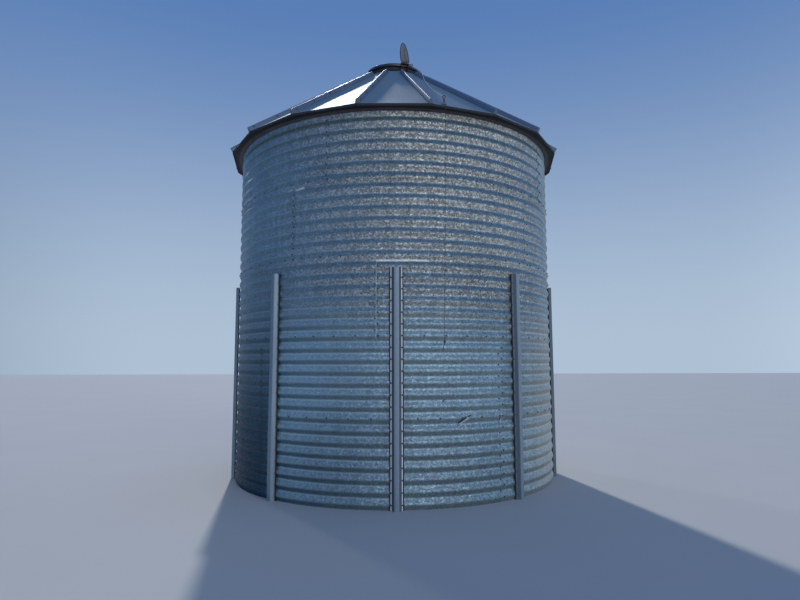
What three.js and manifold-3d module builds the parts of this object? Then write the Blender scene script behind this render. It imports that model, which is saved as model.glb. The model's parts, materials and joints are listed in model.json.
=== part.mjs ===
// Round grain silo of corrugated galvanised sheet, with stiffeners, a ribbed cone roof and a hinged lid.
// Millimetres, +Z up. The origin is the centre of the floor's underside. -Y is the pull rope's side.
// An azimuth is measured in degrees from -Y towards +X.
import * as THREE from 'three';
import { mergeVertices } from 'three/addons/utils/BufferGeometryUtils.js';
import Module from 'manifold-3d';

// Driving dimensions
const WALL_RADIUS = 2134;            // middle of the corrugation
const CORRUGATION_PITCH = 124;
const CORRUGATION_DEPTH = 20;
const CORRUGATIONS_PER_TIER = 7;
const TIER_COUNT = 5;
const STIFFENER_COUNT = 9;
const ROOF_PANEL_COUNT = 18;
const ROOF_PITCH = 36;               // slope along a panel's centre line
const EAVE_RADIUS = 2285;            // to the corners of the eave
const EAVE_HEIGHT = 4300;
const SEAT_GAP = 0.4;                // between pieces that rest on each other

// Wall sheets, modelled thicker than the real sheet
const WALL_AZIMUTH = 0.6;            // the wall and its stiffeners are turned by this
const WALL_LINING = 7;               // metal behind the valleys
const FACET_ANGLE = 10;
const SHEETS_PER_TIER = 3;
const SHEET_GAP = 0.5;
const TIER_SEAMS = [35, 35, -5, -35, -25]; // azimuth of one seam in each tier, from the ground up

const FLOOR_THICKNESS = 12;

// Hat-section stiffeners
const STIFFENER_TOP = 2520;
const STIFFENER_DEPTH = 50;
const STIFFENER_METAL = 4;
const STIFFENER_WIDTH = 150;
const STIFFENER_MOUTH = 94;
const STIFFENER_CROWN = 62;

// Roof panels and ribs
const PANEL_THICKNESS = 6;
const PANEL_TOP = 430;               // distance of the panels' upper ends from the silo's axis
const EAVE_LIP = 24;
const RIB_TOP_RADIUS = 545;
const RIB_HEIGHT = 50;
const RIB_BASE = 50;
const RIB_CREST = 30;
const RIB_SUNK = 5;                  // the rib's foot lies inside the panel's thickness
const PANELS_PER_SECTION = 3;
const SECTION_OVERHANG = 27;         // a section reaches this far past its first rib's centre line

// Eave skirt, from the roof's lip in to the wall
const SKIRT_THICKNESS = 6;
const SKIRT_OUTER_HEIGHT = 4281;
const SKIRT_INNER_HEIGHT = 4268;
const SKIRT_SECTIONS = 3;
const SKIRT_STEP = 5;

// Peak collar and lid
const ROUND_SIDES = 36;
const COLLAR_METAL = 7;
const COLLAR_INNER_RADIUS = 398;
const COLLAR_FLANGE_RADIUS = 478;
const LID_METAL = 6;
const LID_RADIUS = 433;
const LID_EDGE_HEIGHT = 5732;
const LID_CROWN_HEIGHT = 5785;
const LID_RIM_DROP = 37;

// Lid hinge and lever. In their own frame X points out from the peak, Y runs along the hinge, and Z is up.
const HINGE_AZIMUTH = 20;
const HINGE_RADIUS = 455;
const HINGE_HEIGHT = 5725;
const PIN_RADIUS = 6;
const PIN_START = -66;
const PIN_EYE = 105;
const PIN_EYE_RADIUS = 15;
const PIN_EYE_WIRE = 4;
const BORE_RADIUS = 6.6;
const BARREL_RADIUS = 11;
const BARREL_HALF_LENGTH = 46;
const LUG_NEAR = 47;
const LUG_FAR = 55;
const LUG_HEAD = 13;
const LUG_CHAMFER = 7;
const LUG_CHEEK = -20;               // height at which the lug's outer edge starts to slope in
const LUG_HEEL = -52;                // height at which that slope passes under the pin
const BRACKET_FOOT = -70;
const BRACKET_SHELF = -38;
const BRACKET_METAL = 6;
const BRACKET_HALF_WIDTH = 66;
const STRAP_HALF_WIDTH = 30;
const STRAP_REACH = -150;
const STRAP_METAL = 6;
const STRAP_ROOT = [[-6, 3], [3, 8]]; // the strap's lower and upper corner inside the barrel
const LEVER_METAL = 6;
const LEVER_NECK = 36;
const LEVER_SHOULDER = 15;
const LEVER_FLARE = 9;               // height from the shoulder to the widest place
const LEVER_HALF_WIDTH = 63;
const LEVER_TIP = [-57, 272];
const LEVER_RIGHT_CURVE = [46, 105, 4, 250];
const LEVER_LEFT_CURVE = [-98, 254, -98, 105];
const LEVER_LEAN = 15;               // outward

// Rope guide near the eave
const GUIDE_AZIMUTH = 14.2;
const GUIDE_RADIUS = 2238;
const GUIDE_HEIGHT = 4405;
const GUIDE_RING_RADIUS = 16;
const GUIDE_WIRE = 4;
const GUIDE_LEG_SPREAD = 13;
const GUIDE_FOOT = [36, 56, 5];

// Pull rope, its knot and its short tail
const ROPE_RADIUS = 3;
const ROPE_SIDES = 8;
const ROPE_STEPS = 80;
const ROPE_ROUTE = [
  [254.3, -391.7, 5703.5], [259, -394.5, 5699], [296, -415, 5669], [323, -430, 5642], [344, -512, 5578],
  [361, -588, 5517], [376, -655, 5475], [384, -697, 5440], [393, -742, 5386], [401, -790, 5322],
  [410, -840, 5270], [424, -980, 5168], [436, -1137, 5057], [471, -1369, 4890], [490, -1560, 4770],
  [512, -1773, 4640], [532, -1975, 4519], [548, -2130, 4428], [554, -2190, 4388], [557, -2212, 4340],
  [557, -2216, 4280], [554, -2216, 4050], [549, -2216, 3600], [543, -2216, 3100], [536, -2216, 2600],
  [530, -2216, 2150], [525, -2216, 1741],
];
const KNOT_RADIUS = 15;
const KNOT_HEIGHT = 38;
const KNOT_TAPER = 0.15;             // share of the knot's height over which it narrows at each end
const KNOT_NECK = 0.8;               // share of its radius there
const KNOT_SIDES = 10;
const TAIL_RADIUS = 5;
const TAIL_LENGTH = 75;
const TAIL_LEAN = 14;

// Derived sizes
const rad = THREE.MathUtils.degToRad;
const TIER_HEIGHT = CORRUGATION_PITCH * CORRUGATIONS_PER_TIER;
const WALL_CREST = WALL_RADIUS + CORRUGATION_DEPTH / 2;
const WALL_VALLEY = WALL_RADIUS - CORRUGATION_DEPTH / 2;
const WALL_INNER = WALL_VALLEY - WALL_LINING;
const PANEL_ANGLE = 360 / ROOF_PANEL_COUNT;
const HALF_PANEL_COS = Math.cos(rad(PANEL_ANGLE / 2));
const EAVE_APOTHEM = EAVE_RADIUS * HALF_PANEL_COS;
const PANEL_RISE = Math.tan(rad(ROOF_PITCH));
const PANEL_DROP = PANEL_THICKNESS / Math.cos(rad(ROOF_PITCH));
const RIB_SLOPE = Math.atan(PANEL_RISE * HALF_PANEL_COS);
const LID_RISE = (LID_CROWN_HEIGHT - LID_EDGE_HEIGHT) / LID_RADIUS;

const steel = (color, roughness, metalness = 0.9) => (
  new THREE.MeshStandardMaterial({ color, roughness, metalness }));
const spangled = steel(0xa6a8a6, 0.55);
const panelSteel = steel(0xa9b1ba, 0.35);
const ribSteel = steel(0xb5bac0, 0.4);
const stiffenerSteel = steel(0x90979d, 0.5);
const rustySteel = steel(0x6b4a3a, 0.8, 0.4);
const ropeFibre = steel(0x8f8a80, 0.9, 0);

const wasm = await Module();
wasm.setup();

const range = (count) => Array.from({ length: count }, (_, index) => index);
const outward = (azimuth) => new THREE.Vector3(Math.sin(rad(azimuth)), -Math.cos(rad(azimuth)), 0);
const sideways = (azimuth) => new THREE.Vector3(Math.cos(rad(azimuth)), Math.sin(rad(azimuth)), 0);
const place = (azimuth, radius, height) => outward(azimuth).multiplyScalar(radius).setZ(height);
const flatPoints = (pairs) => pairs.map(([x, y]) => new THREE.Vector2(x, y));
const lathe = (outline, sides = ROUND_SIDES, start = 0) => (
  new THREE.LatheGeometry(flatPoints(outline), sides, rad(start)).rotateX(Math.PI / 2));

// Height of the roof's upper face on a panel's centre line and on a rib's line, and of the lid's upper face
const panelHeight = (distance) => EAVE_HEIGHT + (EAVE_APOTHEM - distance) * PANEL_RISE;
const ridgeHeight = (radius) => panelHeight(radius * HALF_PANEL_COS);
const lidHeight = (radius) => LID_EDGE_HEIGHT + (LID_RADIUS - radius) * LID_RISE;

function solidOf(geometry) {
  const bare = geometry.clone();
  bare.deleteAttribute('normal');
  bare.deleteAttribute('uv');
  const merged = mergeVertices(bare, 1e-3);
  return new wasm.Manifold(new wasm.Mesh({
    numProp: 3,
    vertProperties: new Float32Array(merged.attributes.position.array),
    triVerts: new Uint32Array(merged.index.array),
  }));
}

function geometryOf(solid) {
  const mesh = solid.getMesh();
  const geometry = new THREE.BufferGeometry();
  geometry.setAttribute('position', new THREE.BufferAttribute(mesh.vertProperties, 3));
  geometry.setIndex(new THREE.BufferAttribute(mesh.triVerts, 1));
  geometry.computeVertexNormals();
  return geometry;
}

const joined = (...geometries) => geometries.map(solidOf).reduce((all, next) => all.add(next));

// A closed outline of [radius, height] points, anticlockwise, carried round through the azimuths
function sector(outlineAt, azimuths) {
  const outlines = azimuths.map(outlineAt);
  const size = outlines[0].length;
  const points = outlines.flatMap((outline, station) => (
    outline.map(([radius, height]) => place(azimuths[station], radius, height))));
  const triangles = [];
  for (const station of range(azimuths.length - 1)) {
    for (const corner of range(size)) {
      const here = station * size + corner;
      const next = station * size + ((corner + 1) % size);
      triangles.push(here, here + size, next, next, here + size, next + size);
    }
  }
  const last = (azimuths.length - 1) * size;
  for (const [a, b, c] of THREE.ShapeUtils.triangulateShape(flatPoints(outlines[0]), [])) {
    triangles.push(a, b, c, last + a, last + c, last + b);
  }
  const geometry = new THREE.BufferGeometry().setFromPoints(points);
  geometry.setIndex(triangles);
  geometry.computeVertexNormals();
  return geometry;
}

const outlineShape = (corners) => new THREE.Shape(flatPoints(corners));

// An outline of [x, z] corners given a width along Y
function plate(corners, from, to) {
  return new THREE.ExtrudeGeometry(outlineShape(corners), { depth: to - from, bevelEnabled: false })
    .rotateX(Math.PI / 2)
    .translate(0, to, 0);
}

// A round bar along Y
const bar = (radius, from, to) => (
  new THREE.CylinderGeometry(radius, radius, to - from, 16).translate(0, (from + to) / 2, 0));

function rod(start, end, radius) {
  const way = new THREE.Vector3().subVectors(end, start);
  const up = new THREE.Vector3(0, 1, 0);
  const turn = new THREE.Quaternion().setFromUnitVectors(up, way.clone().normalize());
  return new THREE.CylinderGeometry(radius, radius, way.length(), 8)
    .translate(0, way.length() / 2, 0)
    .applyQuaternion(turn)
    .translate(start.x, start.y, start.z);
}

// The wall's top edge stops just under the roof panels
function wallTop() {
  const reach = WALL_CREST * Math.cos(rad(FACET_ANGLE / 2 - WALL_AZIMUTH));
  return panelHeight(reach) - PANEL_DROP - SEAT_GAP;
}

function wallSheets(tier, index) {
  const base = tier * TIER_HEIGHT;
  const outline = range(CORRUGATIONS_PER_TIER * 2 + 1).map((step) => (
    [step % 2 ? WALL_CREST : WALL_VALLEY, base + (step * CORRUGATION_PITCH) / 2]));
  const foot = tier ? base + SHEET_GAP : base;
  outline[0][1] = foot;
  if (tier === TIER_COUNT - 1) {
    const rest = wallTop() - outline.at(-1)[1];
    outline.push([WALL_VALLEY + (rest * CORRUGATION_DEPTH) / (CORRUGATION_PITCH / 2), wallTop()]);
  }
  outline.push([WALL_INNER, outline.at(-1)[1]], [WALL_INNER, foot]);
  const sweep = 360 / SHEETS_PER_TIER;
  const first = WALL_AZIMUTH + TIER_SEAMS[tier] + index * sweep;
  const azimuths = range(sweep / FACET_ANGLE + 1).map((step) => first + step * FACET_ANGLE);
  azimuths[azimuths.length - 1] -= THREE.MathUtils.radToDeg(SHEET_GAP / WALL_RADIUS);
  return sector(() => outline, azimuths);
}

function floorSheet() {
  const corners = range(360 / FACET_ANGLE).map((step) => {
    const corner = place(WALL_AZIMUTH + (step + 0.5) * FACET_ANGLE, WALL_INNER - SEAT_GAP, 0);
    return [corner.x, corner.y];
  });
  return new THREE.ExtrudeGeometry(outlineShape(corners), { depth: FLOOR_THICKNESS, bevelEnabled: false });
}

// A hat section standing on the wall's crests, with its crown outwards
function stiffener() {
  const mirrored = (points) => points.map(([x, y]) => [x, -y]);
  const outer = [
    [0, STIFFENER_WIDTH / 2],
    [STIFFENER_METAL, STIFFENER_WIDTH / 2],
    [STIFFENER_METAL, (STIFFENER_MOUTH + STIFFENER_METAL) / 2],
    [STIFFENER_DEPTH, STIFFENER_CROWN / 2],
  ];
  const inner = [
    [0, STIFFENER_MOUTH / 2 - STIFFENER_METAL],
    [STIFFENER_DEPTH - STIFFENER_METAL, STIFFENER_CROWN / 2 - STIFFENER_METAL],
  ];
  const outline = [...mirrored(outer), ...outer.toReversed(), ...inner, ...mirrored(inner).toReversed()];
  return new THREE.ExtrudeGeometry(outlineShape(outline), { depth: STIFFENER_TOP, bevelEnabled: false });
}

function rib(azimuth) {
  const out = outward(azimuth);
  const slope = new THREE.Vector3(0, 0, -Math.sin(RIB_SLOPE)).addScaledVector(out, Math.cos(RIB_SLOPE));
  const normal = new THREE.Vector3(0, 0, Math.cos(RIB_SLOPE)).addScaledVector(out, Math.sin(RIB_SLOPE));
  const section = outlineShape([
    [-RIB_BASE / 2, -RIB_SUNK],
    [RIB_BASE / 2, -RIB_SUNK],
    [RIB_CREST / 2, RIB_HEIGHT],
    [-RIB_CREST / 2, RIB_HEIGHT],
  ]);
  const length = (EAVE_RADIUS - RIB_TOP_RADIUS) / Math.cos(RIB_SLOPE);
  const turn = new THREE.Matrix4().makeBasis(sideways(azimuth), normal, slope);
  turn.setPosition(place(azimuth, RIB_TOP_RADIUS, ridgeHeight(RIB_TOP_RADIUS)));
  return new THREE.ExtrudeGeometry(section, { depth: length, bevelEnabled: false }).applyMatrix4(turn);
}

// All panels with their turned-down lip, and all ribs
function wholeRoof() {
  const lipInside = EAVE_APOTHEM - PANEL_THICKNESS;
  const outline = [
    [PANEL_TOP, panelHeight(PANEL_TOP)],
    [PANEL_TOP, panelHeight(PANEL_TOP) - PANEL_DROP],
    [lipInside, panelHeight(lipInside) - PANEL_DROP],
    [lipInside, EAVE_HEIGHT - EAVE_LIP],
    [EAVE_APOTHEM, EAVE_HEIGHT - EAVE_LIP],
    [EAVE_APOTHEM, EAVE_HEIGHT],
  ].map(([distance, height]) => [distance / HALF_PANEL_COS, height]);
  const panels = lathe([...outline, outline[0]], ROOF_PANEL_COUNT, PANEL_ANGLE / 2);
  const ribs = range(ROOF_PANEL_COUNT).map((index) => rib((index + 0.5) * PANEL_ANGLE));
  return joined(panels, ...ribs);
}

// The part of the roof between two ribs, with the first rib and without the last one
function roofSection(roof, first) {
  const last = first + PANELS_PER_SECTION * PANEL_ANGLE;
  const edge = (azimuth, distance, offset) => {
    const corner = outward(azimuth).multiplyScalar(distance).addScaledVector(sideways(azimuth), -offset);
    return [corner.x, corner.y];
  };
  const inside = PANEL_TOP / 2;
  const outside = EAVE_RADIUS * Math.SQRT2;
  const plan = outlineShape([
    edge(first, inside, SECTION_OVERHANG),
    edge(first, outside, SECTION_OVERHANG),
    edge(last, outside, SECTION_OVERHANG + SHEET_GAP),
    edge(last, inside, SECTION_OVERHANG + SHEET_GAP),
  ]);
  const wedge = new THREE.ExtrudeGeometry(plan, { depth: EAVE_HEIGHT, bevelEnabled: false });
  return geometryOf(roof.intersect(solidOf(wedge.translate(0, 0, EAVE_HEIGHT - EAVE_LIP * 2))));
}

function eaveSkirt(index) {
  const outline = (azimuth) => {
    const fromCentre = azimuth - Math.round(azimuth / PANEL_ANGLE) * PANEL_ANGLE;
    const edge = (EAVE_APOTHEM - PANEL_THICKNESS - SEAT_GAP) / Math.cos(rad(fromCentre));
    return [
      [WALL_CREST + SEAT_GAP, SKIRT_INNER_HEIGHT],
      [edge, SKIRT_OUTER_HEIGHT],
      [edge, SKIRT_OUTER_HEIGHT + SKIRT_THICKNESS],
      [WALL_CREST + SEAT_GAP, SKIRT_INNER_HEIGHT + SKIRT_THICKNESS],
    ];
  };
  const sweep = 360 / SKIRT_SECTIONS;
  const first = PANEL_ANGLE / 2 + index * sweep;
  const azimuths = range(sweep / SKIRT_STEP + 1).map((step) => first + step * SKIRT_STEP);
  azimuths[azimuths.length - 1] -= THREE.MathUtils.radToDeg(SHEET_GAP / EAVE_RADIUS);
  return sector(outline, azimuths);
}

// The neck of the filling hole, with a flange that lies on the upper ends of the panels
function peakCollar() {
  const neck = COLLAR_INNER_RADIUS + COLLAR_METAL;
  const flangeDrop = COLLAR_METAL / Math.cos(RIB_SLOPE);
  const seat = (radius) => ridgeHeight(radius) + SEAT_GAP;
  const outline = [
    [COLLAR_INNER_RADIUS, seat(COLLAR_INNER_RADIUS)],
    [COLLAR_FLANGE_RADIUS, seat(COLLAR_FLANGE_RADIUS)],
    [COLLAR_FLANGE_RADIUS, seat(COLLAR_FLANGE_RADIUS) + flangeDrop],
    [neck, seat(neck) + flangeDrop],
    [neck, lidHeight(neck) - LID_METAL - SEAT_GAP],
    [COLLAR_INNER_RADIUS, lidHeight(neck) - LID_METAL - SEAT_GAP],
  ];
  return lathe([...outline, outline[0]]);
}

function lid() {
  const inside = LID_RADIUS - LID_METAL;
  return lathe([
    [0, LID_CROWN_HEIGHT - LID_METAL],
    [inside, lidHeight(inside) - LID_METAL],
    [inside, LID_EDGE_HEIGHT - LID_RIM_DROP],
    [LID_RADIUS, LID_EDGE_HEIGHT - LID_RIM_DROP],
    [LID_RADIUS, LID_EDGE_HEIGHT],
    [0, LID_CROWN_HEIGHT],
  ]);
}

// Two lugs on a foot that is fixed to the neck below the lid's rim
function hingeBracket() {
  const back = COLLAR_INNER_RADIUS + COLLAR_METAL + SEAT_GAP - HINGE_RADIUS;
  const front = back + BRACKET_METAL;
  const lug = [
    [back, BRACKET_FOOT],
    [front, BRACKET_FOOT],
    [0, LUG_HEEL],
    [LUG_HEAD, LUG_CHEEK],
    [LUG_HEAD, LUG_CHAMFER],
    [LUG_CHAMFER, LUG_HEAD],
    [-LUG_CHAMFER, LUG_HEAD],
    [-LUG_HEAD, LUG_CHAMFER],
    [-LUG_HEAD, BRACKET_SHELF],
    [back, BRACKET_SHELF],
  ];
  const foot = [[back, BRACKET_FOOT], [front, BRACKET_FOOT], [front, BRACKET_SHELF], [back, BRACKET_SHELF]];
  const blank = joined(
    plate(foot, -BRACKET_HALF_WIDTH, BRACKET_HALF_WIDTH),
    plate(lug, LUG_NEAR, LUG_FAR),
    plate(lug, -LUG_FAR, -LUG_NEAR),
  );
  return geometryOf(blank.subtract(solidOf(bar(BORE_RADIUS, -LUG_FAR - 1, LUG_FAR + 1))));
}

// The hinge's round pin, drawn out to one side into the eye that the rope is tied to
function hingePin() {
  const eye = new THREE.TorusGeometry(PIN_EYE_RADIUS, PIN_EYE_WIRE, 6, 16).rotateY(Math.PI / 2);
  const pin = bar(PIN_RADIUS, PIN_START, PIN_EYE - PIN_EYE_RADIUS);
  return geometryOf(joined(pin, eye.translate(0, PIN_EYE, 0)));
}

// The hinge's barrel with a strap that lies on the lid and a tongue-shaped lever standing on it
function lidLever() {
  const strapEnd = lidHeight(HINGE_RADIUS + STRAP_REACH) - HINGE_HEIGHT + SEAT_GAP;
  const rimInside = LID_RADIUS - HINGE_RADIUS;
  const rimTop = LID_EDGE_HEIGHT - HINGE_HEIGHT + SEAT_GAP;
  const strap = plate([
    [STRAP_REACH, strapEnd],
    [rimInside, rimTop],
    ...STRAP_ROOT,
    [rimInside, rimTop + STRAP_METAL],
    [STRAP_REACH, strapEnd + STRAP_METAL],
  ], -STRAP_HALF_WIDTH, STRAP_HALF_WIDTH);
  const widest = LEVER_SHOULDER + LEVER_FLARE;
  const tongue = new THREE.Shape();
  tongue.moveTo(-LEVER_NECK, 0);
  tongue.lineTo(LEVER_NECK, 0);
  tongue.lineTo(LEVER_NECK, LEVER_SHOULDER);
  tongue.lineTo(LEVER_HALF_WIDTH, widest);
  tongue.bezierCurveTo(...LEVER_RIGHT_CURVE, ...LEVER_TIP);
  tongue.bezierCurveTo(...LEVER_LEFT_CURVE, -LEVER_HALF_WIDTH, widest);
  tongue.lineTo(-LEVER_NECK, LEVER_SHOULDER);
  const upright = new THREE.Matrix4().makeBasis(
    new THREE.Vector3(0, 1, 0), new THREE.Vector3(0, 0, 1), new THREE.Vector3(1, 0, 0));
  const sheet = { depth: LEVER_METAL, bevelEnabled: false, curveSegments: 8 };
  const lever = new THREE.ExtrudeGeometry(tongue, sheet)
    .translate(0, 0, -LEVER_METAL / 2)
    .applyMatrix4(upright)
    .rotateY(rad(LEVER_LEAN));
  const blank = joined(bar(BARREL_RADIUS, -BARREL_HALF_LENGTH, BARREL_HALF_LENGTH), strap, lever);
  return geometryOf(blank.subtract(solidOf(bar(BORE_RADIUS, -LUG_NEAR, LUG_NEAR))));
}

// A ring on two legs, whose foot lies on the roof panel
function ropeGuide() {
  const panelAzimuth = Math.round(GUIDE_AZIMUTH / PANEL_ANGLE) * PANEL_ANGLE;
  const fromCentre = rad(GUIDE_AZIMUTH - panelAzimuth);
  const spot = place(GUIDE_AZIMUTH, GUIDE_RADIUS, panelHeight(GUIDE_RADIUS * Math.cos(fromCentre)));
  const lift = GUIDE_FOOT[2] / 2 + SEAT_GAP;
  const foot = new THREE.BoxGeometry(...GUIDE_FOOT)
    .translate(0, 0, lift)
    .rotateY(rad(ROOF_PITCH))
    .rotateZ(rad(panelAzimuth - 90))
    .translate(spot.x, spot.y, spot.z);
  const side = sideways(GUIDE_AZIMUTH).multiplyScalar(GUIDE_LEG_SPREAD);
  const seat = spot.clone().setZ(spot.z + GUIDE_FOOT[2] / Math.cos(rad(ROOF_PITCH)));
  const top = place(GUIDE_AZIMUTH, GUIDE_RADIUS, GUIDE_HEIGHT - GUIDE_RING_RADIUS);
  const ring = new THREE.TorusGeometry(GUIDE_RING_RADIUS, GUIDE_WIRE, 8, 16)
    .rotateY(Math.PI / 2)
    .rotateZ(rad(GUIDE_AZIMUTH - 90))
    .translate(...place(GUIDE_AZIMUTH, GUIDE_RADIUS, GUIDE_HEIGHT).toArray());
  const legs = [side, side.clone().negate()].map((shift) => rod(seat.clone().add(shift), top, GUIDE_WIRE));
  return geometryOf(joined(foot, ring, ...legs));
}

function pullRope() {
  const points = ROPE_ROUTE.map((point) => new THREE.Vector3(...point));
  const route = new THREE.CatmullRomCurve3(points, false, 'centripetal');
  const corners = range(ROPE_SIDES).map((side) => {
    const angle = (side / ROPE_SIDES) * 2 * Math.PI;
    return [ROPE_RADIUS * Math.cos(angle), ROPE_RADIUS * Math.sin(angle)];
  });
  return new THREE.ExtrudeGeometry(outlineShape(corners), { steps: ROPE_STEPS, extrudePath: route });
}

// The knot at the rope's lower end, with its tail below it
function ropeKnot() {
  return lathe([
    [0, -KNOT_HEIGHT - TAIL_LENGTH],
    [TAIL_RADIUS, -KNOT_HEIGHT - TAIL_LENGTH],
    [TAIL_RADIUS, -KNOT_HEIGHT],
    [KNOT_RADIUS * KNOT_NECK, KNOT_HEIGHT * (KNOT_TAPER - 1)],
    [KNOT_RADIUS, -KNOT_HEIGHT / 2],
    [KNOT_RADIUS * KNOT_NECK, -KNOT_HEIGHT * KNOT_TAPER],
    [ROPE_RADIUS, 0],
    [0, 0],
  ], KNOT_SIDES);
}

function named(name, geometry, material) {
  const mesh = new THREE.Mesh(geometry, material.clone());
  mesh.name = name;
  return mesh;
}

const silo = new THREE.Group();

for (const tier of range(TIER_COUNT)) {
  for (const index of range(SHEETS_PER_TIER)) {
    silo.add(named(`wall_tier_${tier + 1}_sheets_${index + 1}`, wallSheets(tier, index), spangled));
  }
}
silo.add(named('floor_sheet', floorSheet(), spangled));

for (const index of range(STIFFENER_COUNT)) {
  const azimuth = WALL_AZIMUTH + (index * 360) / STIFFENER_COUNT;
  const holder = new THREE.Group();
  holder.position.copy(place(azimuth, WALL_CREST * Math.cos(rad(FACET_ANGLE / 2)) + SEAT_GAP, 0));
  holder.rotation.z = rad(azimuth - 90);
  holder.add(named(`stiffener_${index + 1}`, stiffener(), stiffenerSteel));
  silo.add(holder);
}

const roof = wholeRoof();
for (const index of range(ROOF_PANEL_COUNT / PANELS_PER_SECTION)) {
  const first = (index * PANELS_PER_SECTION + 0.5) * PANEL_ANGLE;
  silo.add(named(`roof_panels_${index + 1}`, roofSection(roof, first), panelSteel));
}
for (const index of range(SKIRT_SECTIONS)) {
  silo.add(named(`eave_skirt_${index + 1}`, eaveSkirt(index), stiffenerSteel));
}
silo.add(named('peak_collar', peakCollar(), stiffenerSteel));
silo.add(named('lid', lid(), panelSteel));

const hinge = new THREE.Group();
hinge.position.copy(place(HINGE_AZIMUTH, HINGE_RADIUS, HINGE_HEIGHT));
hinge.rotation.z = rad(HINGE_AZIMUTH - 90);
hinge.add(named('hinge_bracket', hingeBracket(), rustySteel));
hinge.add(named('hinge_pin', hingePin(), rustySteel));
hinge.add(named('lid_lever', lidLever(), ribSteel));
silo.add(hinge);

silo.add(named('rope_guide', ropeGuide(), rustySteel));
silo.add(named('pull_rope', pullRope(), ropeFibre));
const knot = named('rope_knot', ropeKnot(), ropeFibre);
knot.position.set(...ROPE_ROUTE.at(-1)).z -= SEAT_GAP + ROPE_RADIUS * Math.sin(rad(TAIL_LEAN));
knot.rotation.y = rad(TAIL_LEAN);
silo.add(knot);

export default silo;
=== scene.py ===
"""Looks of a round grain silo: corrugated wall, ribbed roof, peak lid with its lever, and pull rope."""

import json
import math

import bmesh
import bpy
import numpy as np
from bpy.props import FloatProperty, FloatVectorProperty, IntProperty, PointerProperty
from mathutils import Matrix, Vector


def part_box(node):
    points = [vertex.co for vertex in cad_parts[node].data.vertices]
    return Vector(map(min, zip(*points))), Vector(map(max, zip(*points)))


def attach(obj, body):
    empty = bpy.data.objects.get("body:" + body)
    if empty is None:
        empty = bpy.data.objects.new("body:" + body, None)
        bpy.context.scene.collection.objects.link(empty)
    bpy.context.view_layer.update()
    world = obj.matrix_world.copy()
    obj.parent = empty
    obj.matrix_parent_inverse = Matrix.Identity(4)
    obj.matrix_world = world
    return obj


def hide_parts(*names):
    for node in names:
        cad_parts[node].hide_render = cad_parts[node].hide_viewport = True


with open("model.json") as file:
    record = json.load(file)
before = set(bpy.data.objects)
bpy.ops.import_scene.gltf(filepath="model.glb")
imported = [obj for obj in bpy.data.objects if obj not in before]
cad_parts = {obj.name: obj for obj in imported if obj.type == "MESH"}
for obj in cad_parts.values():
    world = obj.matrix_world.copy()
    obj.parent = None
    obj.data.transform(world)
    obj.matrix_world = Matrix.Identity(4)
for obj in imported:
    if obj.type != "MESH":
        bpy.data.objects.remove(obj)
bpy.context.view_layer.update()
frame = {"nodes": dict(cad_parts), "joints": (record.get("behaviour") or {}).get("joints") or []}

bl_info = {
    "name": "Grain silo",
    "version": (1, 0, 0),
    "blender": (4, 5, 0),
    "location": "3D View > Sidebar > Silo",
    "description": "Builds a round corrugated steel grain silo around its packed frame",
    "category": "Object",
}


def count(start):
    """How many of the frame's nodes have names that start so."""
    return sum(name.startswith(start) for name in frame["nodes"])


# Counts and heights from the frame, in metres, and the panels in a section of the roof.
# An azimuth is in degrees from -Y towards +X.
SHEET_NODES = count("wall_tier_1_sheets_")
TIERS = count("wall_tier_") // SHEET_NODES
STIFFENERS = count("stiffener_")
ROOF_SECTIONS = count("roof_panels_")
SKIRTS = count("eave_skirt_")
PANELS_PER_SECTION = 3
PANELS = ROOF_SECTIONS * PANELS_PER_SECTION
PANEL_ANGLE = 360 / PANELS
TIER_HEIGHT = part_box("wall_tier_1_sheets_1")[1].z
WALL_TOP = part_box(f"wall_tier_{TIERS}_sheets_1")[1].z
STIFFENER_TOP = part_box("stiffener_1")[1].z
LID_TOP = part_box("lid")[1].z
LID_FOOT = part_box("lid")[0].z
HINGE = next(joint for joint in frame["joints"] if joint["name"] == "lid_hinge")
HINGE_HEIGHT = HINGE["pos_m"][2]
HINGE_RADIUS = math.hypot(*HINGE["pos_m"][:2])

# Seams of each tier's first sheet, from the ground up; a ring has four long sheets and a short one
FIRST_SEAMS = (-46.5, -46.5, -85.2, -112.5, -100.5)
SHEET_SWEEPS = (80, 80, 80, 80, 40)

# Mesh of a sheet: degrees of a column, and rows in a corrugation
COLUMN_SWEEP = 2
CORRUGATION_ROWS = 12

# How the sheets lap, in metres: a tier's foot under its joint, a sheet's end on the next one,
# and a tier's head behind the next tier, with the height over which that runs out
TIER_DROP = 0.005
LAP_STEP = 0.0018
TUCK = 0.0034
TUCK_RUN_OUT = 0.045

# Where the wall's painted reflections, painted shade, painted light and painted glints change, and where
# the wall darkens towards its foot, from and to: by height, across from left to right, and from front to back
HIGH_WALL = (1.7, 2.4)
FAR_LEFT_SHADE_HEIGHT = (0.6, 3.2)
FAR_LEFT_SHADE_ACROSS = (-1.46, -1.36)
FAR_LEFT_SHADE_BACK = (-0.5, 1.3)
LEFT_ENDS = (-1.7, 0.3)
SPANGLE_GLINT_STARTS = (-1.9, 0.4)
RIGHT_STARTS = (1.2, 2.1)
SPANGLE_GLINT_ENDS = (1.2, 2.0)
FOOT_DARKENING = (0.3, 1.5)

# Gap between a stiffener and the crests, its metal, and how far a piece stands off the sheet
# that it lies on, in metres
STIFFENER_GAP = 0.0003
STIFFENER_METAL = 0.003
SEAT = 0.0006

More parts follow.
